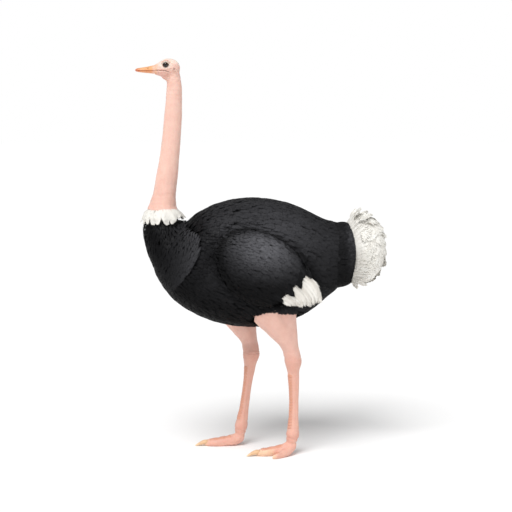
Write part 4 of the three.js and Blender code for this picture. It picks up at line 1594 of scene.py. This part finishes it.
class OSTRICH_OT_body_plumage(bpy.types.Operator):
    """Black plumes of the breast, back, flanks and belly, and the cuff before the tail"""

    bl_idname = "ostrich.body_plumage"
    bl_label = "Body plumage"

    def execute(self, context):
        sizes, colours = settings_of(context)
        draw = np.random.RandomState(sizes.seed)
        ground = ground_of(["trunk", "neck_base", "thigh_L", "thigh_R"], 0.013, 8)
        wings = [ground_of(["wing_" + mark], 0.014, 4) for mark, _side in SIDES]
        thighs = [ground_of(["thigh_" + mark], 0.012, 3) for mark, _side in SIDES]

        def mine(grounds, place):
            """The one on the place's own side."""
            return grounds[0 if place[0] > 0 else 1]

        def on_bare_thigh(place, above):
            """On the leg, under the hem or less than some height above it."""
            return place[2] < hem_at(place) + above and mine(thighs, place).gap(place) < 0.015

        def size_at(place):
            """Small on the breast and full size on the back."""
            return 0.62 + 0.38 * clamp((place[1] + 0.55) / 0.35)

        def body_proud(place):
            """Sunk under the edge of the breast and round the folded wing, and full over the thigh."""
            high = clamp((place.z - 0.98) / 0.12)
            under_breast = 0.009 * clamp(1 + before_breast_edge(place) / 0.07) * high
            round_wing = 0.02 * clamp(1 - abs(mine(wings, place).gap(place)) / 0.045)
            over_thigh = 0.0
            if place.z < 0.95:
                over_thigh = clamp(1 - mine(thighs, place).gap(place) / 0.03)
            before_cuff = 0.005 * clamp((place.y - 0.34) / 0.05)
            return 0.008 * over_thigh - (under_breast + round_wing) * (1 - over_thigh) + before_cuff

        def body_painted_light_and_shade(place, way):
            """Painted light of the body, with painted shade in the crease behind the breast, round the wing
            and before the cuff.
            """
            behind_breast = clamp(-before_breast_edge(place) / 0.09)
            round_wing = clamp(mine(wings, place).gap(place) / 0.03)
            before_cuff = clamp((CUFF_START - place.y) / 0.05)
            crease = (0.4 + 0.7 * behind_breast) * (0.35 + 0.65 * round_wing) * (0.4 + 0.6 * before_cuff)
            return painted_body_light(place, way) * crease

        def breast_proud(place):
            """A soft swelling that ends in the crease, and fades out below."""
            swelling = 0.009 * math.exp(-(((before_breast_edge(place) - 0.07) / 0.06) ** 2)) + 0.003
            return swelling * clamp((place.z - 0.98) / 0.12) * clamp((COLLAR_LOW.z - place.z) / 0.06)

        def cuff_proud(place):
            """Swelling out in the middle of the cuff."""
            return 0.011 * math.sin(math.pi * clamp((place.y - CUFF_START) / 0.13)) - 0.004

        def cuff_painted_light_and_shade(place, way):
            """Painted light of the body, made paler, with painted shade in the crease before the cuff."""
            return 3.2 * painted_body_light(place, way) * (0.2 + 0.8 * clamp((place.y - CUFF_START + 0.02) / 0.05))

        shape = {
            "width_share": 0.17,
            "depth": sizes.coat_depth,
            "draw": draw,
            "unwrap": around_y(TRUNK_LOW.y, TRUNK_HIGH.y, 1.09),
            "wander": 4.0,
            "loose": 0.0012,
        }
        gap = 0.018  # between the roots of the plumes on the back

        def on_neck_end(place, way):
            """On the flat top of the neck base, which the collar hides."""
            return place[2] > COLLAR_LOW.z - 0.012 and way[2] > 0.35 and place[1] < -0.515

        def on_body(place, way):
            """Between breast and cuff, except where the collar, the wings and the bare thighs are."""
            hidden = 0.02 if place[2] > 0.93 else 0.06
            clear = mine(wings, place).gap(place) > -hidden and not on_bare_thigh(place, 0.012)
            below_collar = place[2] < collar_hem(place[1]) + 0.006 or place[1] > -0.43
            clear = clear and not on_neck_end(place, way)
            return clear and below_collar and before_breast_edge(place) < 0.05 and place[1] < CUFF_START

        body = comb(
            ground, lambda place: gap * size_at(place), on_body, body_flow, proud=body_proud, tone=body_painted_light_and_shade,
            length_of=lambda place: sizes.body_plume * size_at(place),
            stop=lambda place: on_bare_thigh(place, 0.0) or place.y > coat_end(place),
            **shape,
        )

        def on_hem(place, _way):
            """On the thigh, just above its bare part."""
            near = mine(thighs, place).gap(place) < 0.02 and mine(wings, place).gap(place) > -0.02
            return near and 0.0 < place[2] - hem_at(place) < 0.05

        fringe = comb(
            ground, 0.011, on_hem, lambda place: Vector((0.0, 0.5, -1.0)), proud=0.008, tone=body_painted_light_and_shade,
            length_of=lambda place: 0.05,
            stop=lambda place: place.z < hem_at(place) - 0.004,
            **dict(shape, depth=0.012, width_share=0.2),
        )
        body = Spines.together([body, fringe])

        def on_breast(place, way):
            """In front of the edge of the breast, and not under the collar."""
            below = place[2] < collar_hem(place[1]) + 0.006 and not on_neck_end(place, way)
            return before_breast_edge(place) > 0.0 and below

        def breast_length(place):
            """Shorter towards the collar."""
            return sizes.body_plume * (0.38 + 0.28 * clamp((COLLAR_LOW.z - 0.01 - place.z) / 0.12))

        breast = comb(
            ground, 0.72 * gap, on_breast, breast_flow, breast_length, proud=breast_proud, tone=breast_painted_shade,
            stop=lambda place: before_breast_edge(place) < -0.012,
            **shape,
        )

        def on_cuff(place, _way):
            """From under the end of the coat nearly to the cuff's rim."""
            return CUFF_START - 0.06 < place[1] < cuff_rim(place[2]) - 0.015

        cuff = comb(
            ground, 0.75 * gap, on_cuff, lambda place: Vector((0.0, 1.0, 0.0)),
            proud=cuff_proud, tone=cuff_painted_light_and_shade,
            length_of=lambda place: 0.72 * sizes.body_plume,
            stop=lambda place: place.y > cuff_rim(place.z),
            **shape,
        )
        patterns = feather_patterns(sizes.seed + 1, **BLACK_PLUME)
        material = black_plumes("BlackPlumage", colours, gloss=0.06, patch_scale=9.0, roughness=0.48)
        start = body.lines[:, 0]
        upper = start[:, 2] > 1.22
        left = start[:, 0] >= 0
        pieces = {
            "plumage_breast": breast,
            "plumage_cuff": cuff,
            "plumage_back": body.only(upper),
            "plumage_flank_L": body.only(~upper & left),
            "plumage_flank_R": body.only(~upper & ~left),
        }
        for name, spines in pieces.items():
            plume_piece(name, spines, patterns, draw, "plumage_black", material=material)
        return {"FINISHED"}


# Places on the folded wing, seen from its side: distance back, and height.
WHITE_EDGE = ((0.182, 1.037), (0.048, 0.9145))
WHITE_BEND = ((0.268, 1.005), (0.08, 0.898))
WHITE_TIPS = ((0.283, 0.903), (0.262, 0.884), (0.221, 0.870), (0.19, 0.877), (0.155, 0.875), (0.110, 0.887))
# Tips of the black lobes over the white, each with the slope of its plumes in degrees.
BLACK_LOBES = (
    (0.196, 1.05, -62.0),
    (0.166, 1.008, -62.0),
    (0.163, 0.972, -60.0),
    (0.124, 0.931, -48.0),
    (0.062, 0.905, -28.0),
)


def past_white_edge(place):
    """How far a place on the wing lies behind the edge of the black, and its share along that edge."""
    rear, front = (np.array(end) for end in WHITE_EDGE)
    along = (rear - front) / np.linalg.norm(rear - front)
    across = np.array([along[1], -along[0]])
    from_front = np.array([place[1], place[2]]) - front
    return float(from_front @ across), float(from_front @ along) / np.linalg.norm(rear - front)


def lay_on_wing(ground, side, line, above):
    """Moves a line sideways onto the wing. Past the wing's edge it goes straight on."""
    out = 0.279
    for point in line:
        hit = ground.tree.ray_cast(Vector((side * 0.5, point[1], point[2])), Vector((-side, 0.0, 0.0)))[0]
        if hit is not None:
            out = abs(hit.x)
        point[0] = side * (out + above)
    return line


def white_fan(ground, side, draw, unwrap):
    """White plumes of the wing tip: long and curved at the rear, short in front."""
    count, layers = 15, 5
    tips = np.array(WHITE_TIPS)
    stations = np.linspace(0.0, 1.0, len(tips))
    rows = []
    for layer in range(layers):
        for i in range(count):
            share = clamp((i + draw.uniform(-0.4, 0.4)) / (count - 1))
            root, bend = (
                np.array(rear) * (1 - share) + np.array(front) * share
                for rear, front in (WHITE_EDGE, WHITE_BEND)
            )
            tip = np.array([np.interp(share, stations, tips[:, axis]) for axis in range(2)])
            root = root - 0.22 * (tip - root)
            tip = root + (tip - root) * draw.uniform(0.86, 1.02) + draw.normal(0, 0.004, 2)
            line = bent_line((0, *root), (0, *bend), (0, *tip))
            line = lay_on_wing(ground, side, line, 0.0025 * layer - 0.006)
            half = 0.0185 * draw.uniform(0.85, 1.15)
            # Greyer than the white of the tail: painted shade.
            shade = 0.15 + 0.5 * draw.uniform()
            rows.append((line, [(side, 0.12, 0.2)] * len(line), half, shade, unwrap(line[0])))
    return Spines.of_rows(rows)


def black_lobes(ground, side, draw, unwrap):
    """Pointed black plumes that overlap the white, in clusters that end in one tip."""
    count = 11
    rows = []
    for back, height, slope in BLACK_LOBES:
        ahead = np.array([math.cos(math.radians(slope)), math.sin(math.radians(slope))])
        across = np.array([ahead[1], -ahead[0]])
        for _ in range(count):
            offset = draw.uniform(-1.0, 1.0)
            tip = np.array([back, height]) + 0.007 * offset * across - ahead * 0.02 * abs(offset)
            root = tip - ahead * draw.uniform(0.1, 0.125) + 0.02 * offset * across
            bend = (tip + root) / 2 + 0.018 * offset * across
            rise = 0.013 - 0.004 * abs(offset) + draw.uniform(-0.002, 0.002)
            line = bent_line((0, *root), (0, *bend), (0, *tip))
            line = lay_on_wing(ground, side, line, rise)
            line[:, 0] -= side * 0.02 * (1 - np.linspace(0, 1, len(line))) ** 2
            half = 0.0125 * draw.uniform(0.85, 1.1)
            shade = 0.03 + 0.05 * draw.uniform()
            rows.append((line, [(side, 0.12, 0.2)] * len(line), half, shade, unwrap(line[0])))
    return Spines.of_rows(rows)


class OSTRICH_OT_wings(bpy.types.Operator):
    """Folded wings: black coverts that end in pointed lobes over the white plumes of the tips"""

    bl_idname = "ostrich.wings"
    bl_label = "Wings"

    def execute(self, context):
        sizes, colours = settings_of(context)
        draw = np.random.RandomState(sizes.seed + 20)
        black = black_plumes("WingBlack", colours, gloss=0.07, patch_scale=7.0, roughness=0.46)
        white = white_plumes("WingWhite", colours, patch_scale=12.0)
        coverts = feather_patterns(sizes.seed + 2, **BLACK_PLUME)
        pointed = feather_patterns(
            sizes.seed + 6, barbs=10, widest=0.4, blade_share=0.6, sweep=0.34, ragged=0.2
        )
        soft = feather_patterns(
            sizes.seed + 3, barbs=12, widest=0.66, blade_share=0.4, sweep=0.3, ragged=0.3
        )
        trunk = ground_of(["trunk"], 0.02, 4)
        for mark, side in SIDES:
            low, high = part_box("wing_" + mark)
            ground = ground_of(["wing_" + mark], 0.011, 6)
            tip = Vector((side * 0.262, high.y - 0.07, low.z + 0.07))
            shoulder = Vector((side * 0.224, low.y, 1.208))
            axis = (tip - shoulder).normalized()
            # Middle of the painted highlight on the bulge of the wing.
            painted_highlight_centre = Vector((side * 0.32, -0.09, 1.225))

            def share_at(place):
                """How far along the wing a place is, 0 at the shoulder and 1 at the tip."""
                return clamp((Vector(place) - shoulder).dot(axis) / (tip - shoulder).length)

            def flow(place):
                """Towards the wing tip, and closing in on it."""
                share = share_at(place)
                return axis * (1.2 - 0.5 * share) + (tip - place) * (1.6 * share)

            def in_white(place, before):
                """Behind the edge of the black, or less than some distance before it."""
                past, along = past_white_edge(place)
                return past > -before and along < 1.08

            def wanted(place, way):
                """On the wing's outer side, before the white of its tip."""
                outer = way[0] * side > -0.35 and trunk.gap(place) > -0.02
                return outer and share_at(place) < 0.9 and not in_white(place, 0.03)

            def tone(place, _way):
                """Painted light and shade: a painted highlight on the bulge of the wing, painted shade where
                it meets the body, and darker towards its lower edge.
                """
                away = place - painted_highlight_centre
                away.z *= 1.25 if away.z < 0 else 1.0
                painted_highlight = math.exp(-((away.length / 0.138) ** 2))
                rim = 1 - 0.85 * math.exp(-(((trunk.gap(place) - 0.013) / 0.012) ** 2))
                low = clamp((place.z - 1.02) / 0.2)
                return rim * (0.012 + 0.15 * low + 0.86 * painted_highlight)

            unwrap = around_y(low.y, high.y, 1.08)
            spines = comb(
                ground, lambda place: 0.009 + 0.0085 * share_at(place), wanted, flow,
                width_share=0.18, depth=0.035, wander=5.0, proud=0.009, tone=tone,
                length_of=lambda place: sizes.wing_plume * (0.3 + 0.7 * share_at(place)),
                stop=lambda place: in_white(place, 0.0),
                draw=draw, unwrap=unwrap,
            )
            wing = "wing_" + mark
            plume_piece("wing_coverts_" + mark, spines, coverts, draw, "plumage_black", wing, material=black)
            spines = black_lobes(ground, side, draw, unwrap)
            plume_piece("wing_lobes_" + mark, spines, pointed, draw, "plumage_black", material=black)
            spines = white_fan(ground, side, draw, unwrap)
            plume_piece("wing_tip_plumes_" + mark, spines, soft, draw, "plumage_white", material=white)
        return {"FINISHED"}


def down_pattern(draw):
    """A tuft of three fine strands that spread from one root."""
    places, faces = [], []
    for spread in (-0.8, 0.0, 0.8):
        end = spread + draw.uniform(-0.3, 0.3)
        a = len(places)
        places += [(0.0, 0.1 * spread - 0.07, 0.0), (0.0, 0.1 * spread + 0.07, 0.0)]
        places += [(0.55, 0.5 * end - 0.06, 0.1), (0.55, 0.5 * end + 0.06, 0.1), (1.0, end, 0.0)]
        faces += [(a, a + 1, a + 3, a + 2), (a + 2, a + 3, a + 4)]
    return np.clip(np.array(places), (0.0, -1.2, -1.0), (1.0, 1.2, 1.0)), faces


class OSTRICH_OT_down(bpy.types.Operator):
    """Sparse pale down that lies on the crown and the neck"""

    bl_idname = "ostrich.down"
    bl_label = "Down"

    def execute(self, context):
        sizes, colours = settings_of(context)
        draw = np.random.RandomState(sizes.seed + 100)
        ground = Ground(bpy.data.objects["skin"])

        def wanted(place, _way):
            """On the neck, the crown and the nape."""
            on_neck = place[1] < -0.4 and COLLAR_HIGH.z + 0.03 < place[2] < GAPE_Z - 0.06
            back = place[1] - BILL_TIP_Y
            on_crown = place[2] > GAPE_Z + 0.045 and back > 0.15 and abs(place[0]) < 0.022
            on_nape = place[2] > GAPE_Z - 0.07 and back > 0.225
            return on_neck or on_crown or on_nape

        def flow(place):
            """Rearwards on the head, and down the neck."""
            return Vector((0.0, 1.0, -0.4)) if place.z > GAPE_Z else Vector((0.0, 0.15, -1.0))

        unwrap = around_z(COLLAR_HIGH.z, CAD_BOX[1].z, 0.0, -0.53)
        spines = comb(
            ground, 0.0135, wanted, flow, width_share=0.16, depth=0.0008, steps=3, wander=22.0, proud=0.0006,
            loose=0.0, length_of=lambda place: sizes.down_length,
            draw=draw, unwrap=unwrap,
        )
        patterns = [down_pattern(draw) for _ in range(4)]
        material = plume_material("PaleDown", colours.skin, colours.crown, 0.1, 0.2, 30.0, 0.6)
        plume_piece("down_tufts", spines, patterns, draw, "plumage_white", material=material)
        return {"FINISHED"}


class OSTRICH_OT_collar(bpy.types.Operator):
    """The white collar: a smooth band of short feathers that droops in soft uneven lobes"""

    bl_idname = "ostrich.collar"
    bl_label = "Collar"

    def execute(self, context):
        sizes, colours = settings_of(context)
        draw = np.random.RandomState(sizes.seed + 40)
        ground = ground_of(["collar", "neck_lower", "neck_base", "trunk"], 0.009, 14)
        centre = (COLLAR_LOW + COLLAR_HIGH) / 2
        lobes = 17
        middles = (np.arange(lobes) + draw.uniform(-0.25, 0.25, lobes)) * 2 * math.pi / lobes
        depths = draw.uniform(0.018, 0.046, lobes)

        def hem_of(place):
            """Height of the lobed lower edge under a place."""
            turn = math.atan2(place[0], place[1] - centre.y)
            away = (middles - turn + math.pi) % (2 * math.pi) - math.pi
            lobe = int(np.abs(away).argmin())
            beside = clamp(abs(away[lobe]) * lobes / math.pi)
            return float(collar_hem(place[1])) + 0.012 - depths[lobe] * math.sqrt(1 - 0.98 * beside * beside)

        def wanted(place, way):
            """Round the foot of the neck, above the lobed edge."""
            beside = abs(place[1] - centre.y) < 0.15 and abs(place[0]) < 0.14
            return beside and way[2] > -0.4 and hem_of(place) + 0.008 < place[2] < COLLAR_HIGH.z + 0.012

        def flow(place):
            """Down, and closing in on the middle of the lobe."""
            turn = math.atan2(place[0], place[1] - centre.y)
            away = (middles - turn + math.pi) % (2 * math.pi) - math.pi
            low = clamp((COLLAR_HIGH.z - 0.02 - place.z) / 0.04)
            inwards = 3.0 * float(away[int(np.abs(away).argmin())]) * low
            return Vector((inwards * math.cos(turn), -inwards * math.sin(turn), -1.0))

        def proud(place):
            """Full at the lower edge, and close to the throat in front."""
            in_front = clamp((centre.y - place.y) / 0.12)
            return 0.004 + 0.005 * clamp((COLLAR_LOW.z + 0.03 - place.z) / 0.05) - 0.012 * in_front

        unwrap = around_z(COLLAR_LOW.z - 0.03, COLLAR_HIGH.z + 0.03, centre.x, centre.y)
        spines = comb(
            ground, 0.0074, wanted, flow, width_share=0.14, depth=0.007, wander=3.0, proud=proud, loose=0.001,
            length_of=lambda place: sizes.collar_feather,
            stop=lambda place: place.z < hem_of(place),
            tone=lambda place, way: 0.66,
            draw=draw, unwrap=unwrap,
        )
        spines = spines.only(spines.lines[:, :, 1].min(axis=1) > COLLAR_LOW.y - 0.003)
        patterns = feather_patterns(
            sizes.seed + 4, barbs=6, widest=0.66, blade_share=0.8, sweep=0.3, ragged=0.1, bend=0.02, droop=0.3
        )
        material = white_plumes("CollarWhite", colours, patch_scale=20.0)
        plume_piece("collar_feathers", spines, patterns, draw, "plumage_white", "collar", material=material)
        return {"FINISHED"}


REARWARD = np.array([0.0, 1.0, -0.8])  # the way the plumes of the tail lie
LOCK_GAP, PLUME_GAP = 0.05, 0.0112  # from lock to lock on the tail, and from root to root


def tail_locks(ground, core, sizes, draw, unwrap):
    """Plumes in locks that overlap like petals: flat on the sides, curled outwards at the top and rear."""

    def behind_cuff(place, _way):
        """From just under the cuff's rim on."""
        return place[1] > cuff_rim(place[2]) - 0.016

    def sunk(place):
        """The nearest place just inside the flesh."""
        nearest = np.array(core.tree.find_nearest(Vector(place))[0][:])
        return nearest + 0.002 * unit(nearest - place)

    centres, centre_ways = ground.scatter(LOCK_GAP, draw, behind_cuff)
    roots, ways = ground.scatter(PLUME_GAP, draw, behind_cuff)
    curls = draw.uniform(0.003, 0.011, len(centres)) * (1 + 1.6 * fade(centre_ways[:, 2], 0.75, 0.95))
    leans = draw.normal(0.0, 0.2, len(centres))
    lengths = draw.uniform(0.05, 0.075, len(centres))
    curls *= 1 - 0.7 * fade(centre_ways @ unit(REARWARD), 0.8, 0.97)
    flats = fade(np.abs(centre_ways[:, 0]), 0.3, 0.75)
    rows = []
    for root, way in zip(roots, ways):
        lock = int(np.linalg.norm(centres - root, axis=1).argmin())
        up = centre_ways[lock]
        ahead = unit(REARWARD - up * (REARWARD @ up))
        side = np.cross(ahead, up)
        ahead = unit(ahead + leans[lock] * side)
        beside = (root - centres[lock]) @ side
        flat = flats[lock]
        curl = curls[lock] * (1 - 0.9 * flat)
        reach = lengths[lock] - 0.5 * abs(beside) * (1 - flat) + 0.02 * flat * draw.uniform(-0.5, 1.0)
        tip = centres[lock] + ahead * reach + side * (0.75 + 0.25 * flat) * beside
        tip = tip + up * (curl - 0.25 * abs(beside)) + draw.normal(0.0, 0.0025, 3)
        if flat > 0:
            nearest, near_way, _index, _distance = ground.tree.find_nearest(Vector(tip))
            tip += 0.8 * flat * (np.array((nearest - 0.004 * near_way)[:]) - tip)
        bend = (root + tip) / 2 + up * (0.007 + 0.3 * curl)
        line = bent_line(sunk(root), bend, tip)
        half = sizes.tail_plume * draw.uniform(0.8, 1.2)
        # Plumes that face up are a little paler: painted light.
        shade = clamp(0.45 + 0.5 * draw.uniform() + 0.1 * way[2])
        rows.append((line, [unit(way + up)] * len(line), half, shade, unwrap(root)))
    return Spines.of_rows(rows)


def tail_ruff(trunk, sizes, draw, unwrap):
    """Broader plumes that come out all round from under the cuff's rim."""
    count = 300
    rows = []
    for turn in np.linspace(0, 2 * math.pi, count, endpoint=False):
        turn += draw.uniform(-0.01, 0.01)
        beside = math.sin(turn) ** 4
        way = np.array([TAIL_RADII[0] * math.sin(turn), 0.0, TAIL_RADII[2] * math.cos(turn)])
        outward = Vector(way).normalized()
        edge = trunk.tree.ray_cast(Vector((0.0, CUFF_START + 0.05, CUFF_MIDDLE_Z)), outward)[0]
        rim = cuff_rim(edge.z)
        root = np.array(trunk.tree.ray_cast(Vector((0.0, rim - 0.035, CUFF_MIDDLE_Z)), outward)[0])
        root -= (0.02 - 0.008 * beside) * unit(way)
        reach = rim + draw.uniform(0.025, 0.085)
        tip = np.array(TAIL_CENTRE) + way * math.sqrt(1 - ((reach - TAIL_CENTRE.y) / TAIL_RADII[1]) ** 2)
        tip[1] = reach
        tip += unit(way) * draw.uniform(-0.006, 0.003)
        bend = np.array(TAIL_CENTRE) + (0.94 + 0.07 * beside) * way
        bend[1] = rim + 0.008
        line = bent_line(root, bend, tip)
        half = sizes.tail_plume * draw.uniform(1.2, 1.5)
        shade = 0.5 + 0.4 * draw.uniform()
        rows.append((line, [unit(way)] * len(line), half, shade, unwrap(root)))
    return Spines.of_rows(rows)


class OSTRICH_OT_tail(bpy.types.Operator):
    """The bushy white tail, and the ruff that it grows from behind the cuff"""

    bl_idname = "ostrich.tail"
    bl_label = "Tail"

    def execute(self, context):
        sizes, colours = settings_of(context)
        draw = np.random.RandomState(sizes.seed + 60)
        ground = ground_on(remeshed(ball(TAIL_CENTRE, TAIL_RADII), 0.012, 1))
        core = ground_on(remeshed(tail_core(sizes), 0.012, 1))
        trunk = ground_of(["trunk"], 0.02, 4)
        unwrap = around_y(TAIL_LOW.y - 0.1, TAIL_HIGH.y, TAIL_CENTRE.z)
        locks = tail_locks(ground, core, sizes, draw, unwrap)
        ruff = tail_ruff(trunk, sizes, draw, unwrap)
        patterns = feather_patterns(
            sizes.seed + 5, barbs=11, widest=0.5, blade_share=0.55, sweep=0.4, ragged=0.2
        )
        material = white_plumes("TailWhite", colours, patch_scale=10.0)
        spines = Spines.together([locks, ruff])
        plume_piece("tail_plumes", spines, patterns, draw, "plumage_white", "tail", material=material)
        return {"FINISHED"}


# ------------------------------------------------------------------ stage


FLOOR_RADIUS = 60.0  # so wide that its edge is never seen


class OSTRICH_OT_stage(bpy.types.Operator):
    """Plain pale floor, soft studio light and the camera"""

    bl_idname = "ostrich.stage"
    bl_label = "Stage"

    def execute(self, context):
        stage = context.scene.ostrich_stage
        _sizes, colours = settings_of(context)
        deselect()
        bpy.ops.mesh.primitive_circle_add(
            vertices=64, radius=FLOOR_RADIUS, fill_type="NGON", location=(0, 0, 0)
        )
        floor = context.object
        floor.name = "floor"
        bpy.ops.object.transform_apply(location=True, rotation=True, scale=True)
        floor.data.materials.append(
            plain_material("PaleFloor", colours.floor, Roughness=0.9, Specular_IOR_Level=0.1)
        )
        from_bird = Vector((1.35, -0.95, 2.5))
        add_lamp("key", "SUN", LOOK_AT + from_bird, energy=stage.key_strength, angle=stage.key_softness)
        add_lamp("fill", "AREA", (3.2, 2.6, 1.9), size=2.6, energy=stage.fill_power)
        world = bpy.data.worlds.new("studio")
        world.use_nodes = True
        light_world(world, stage.sky)
        context.scene.world = world
        context.scene.view_settings.view_transform = "Standard"
        add_camera(context, stage)
        return {"FINISHED"}


LOOK_AT = Vector((0.0, -0.0469, 1.125))  # middle of the bird, for the camera and the lamps


def aimed(name, data, place):
    """A lamp or camera at a place, turned to the middle of the bird."""
    made = bpy.data.objects.new(name, data)
    bpy.context.scene.collection.objects.link(made)
    made.location = place
    made.rotation_mode = "QUATERNION"
    made.rotation_quaternion = (LOOK_AT - Vector(place)).to_track_quat("-Z", "Y")
    return made


def add_lamp(name, kind, place, **settings):
    """A lamp of one kind with its own settings."""
    light = bpy.data.lights.new(name, kind)
    for setting, value in settings.items():
        setattr(light, setting, value)
    aimed(name, light, place)


def light_world(world, strength):
    """Even white light from all round, seen as plain white behind the bird."""
    tree = world.node_tree
    back = tree.nodes["Background"]
    back.inputs["Color"].default_value = (1.0, 1.0, 1.0, 1.0)
    path = tree.nodes.new("ShaderNodeLightPath")
    shown = add_node(tree, "ShaderNodeMapRange", None, Value=path.outputs["Is Camera Ray"], To_Min=strength)
    tree.links.new(shown.outputs["Result"], back.inputs["Strength"])


def add_camera(context, stage):
    """The camera, at its distance from the middle of the bird."""
    flat = math.cos(stage.elevation)
    aside, ahead = math.sin(stage.azimuth) * flat, -math.cos(stage.azimuth) * flat
    back = Vector((aside, ahead, math.sin(stage.elevation)))
    lens = bpy.data.cameras.new("camera")
    lens.lens = stage.lens
    context.scene.camera = aimed("camera", lens, LOOK_AT + back * stage.distance)


# ------------------------------------------------------------------ panel and registration


OPERATORS = (
    OSTRICH_OT_skin,
    OSTRICH_OT_eyes,
    OSTRICH_OT_bill,
    OSTRICH_OT_nails,
    OSTRICH_OT_scutes,
    OSTRICH_OT_down,
    OSTRICH_OT_body_plumage,
    OSTRICH_OT_wings,
    OSTRICH_OT_collar,
    OSTRICH_OT_tail,
    OSTRICH_OT_stage,
)


class OSTRICH_PT_panel(bpy.types.Panel):
    """Lists the steps that make the bird"""

    bl_label = "Ostrich"
    bl_idname = "OSTRICH_PT_panel"
    bl_space_type = "VIEW_3D"
    bl_region_type = "UI"
    bl_category = "Ostrich"

    def draw(self, context):
        layout, scene = self.layout, context.scene
        for operator in OPERATORS:
            layout.operator(operator.bl_idname)
        for group in (scene.ostrich_sizes, scene.ostrich_colours, scene.ostrich_stage):
            box = layout.box()
            for name in group.bl_rna.properties.keys():
                if name not in ("rna_type", "name"):
                    box.prop(group, name)


SETTINGS = {"ostrich_sizes": OstrichSizes, "ostrich_colours": OstrichColours, "ostrich_stage": OstrichStage}


def register():
    """Adds the settings, the operators and the panel."""
    for group in SETTINGS.values():
        bpy.utils.register_class(group)
    for operator in OPERATORS:
        bpy.utils.register_class(operator)
    bpy.utils.register_class(OSTRICH_PT_panel)
    for name, group in SETTINGS.items():
        setattr(bpy.types.Scene, name, PointerProperty(type=group))


def unregister():
    """Takes them out again."""
    for name in SETTINGS:
        delattr(bpy.types.Scene, name)
    bpy.utils.unregister_class(OSTRICH_PT_panel)
    for operator in reversed(OPERATORS):
        bpy.utils.unregister_class(operator)
    for group in reversed(SETTINGS.values()):
        bpy.utils.unregister_class(group)


def main():
    """Makes every piece and the stage."""
    register()
    deselect()
    bpy.ops.ostrich.skin()
    bpy.ops.ostrich.eyes()
    bpy.ops.ostrich.bill()
    bpy.ops.ostrich.nails()
    bpy.ops.ostrich.scutes()
    bpy.ops.ostrich.down()
    bpy.ops.ostrich.body_plumage()
    bpy.ops.ostrich.wings()
    bpy.ops.ostrich.collar()
    bpy.ops.ostrich.tail()
    bpy.ops.ostrich.stage()
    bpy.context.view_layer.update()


if __name__ == "__main__":
    main()
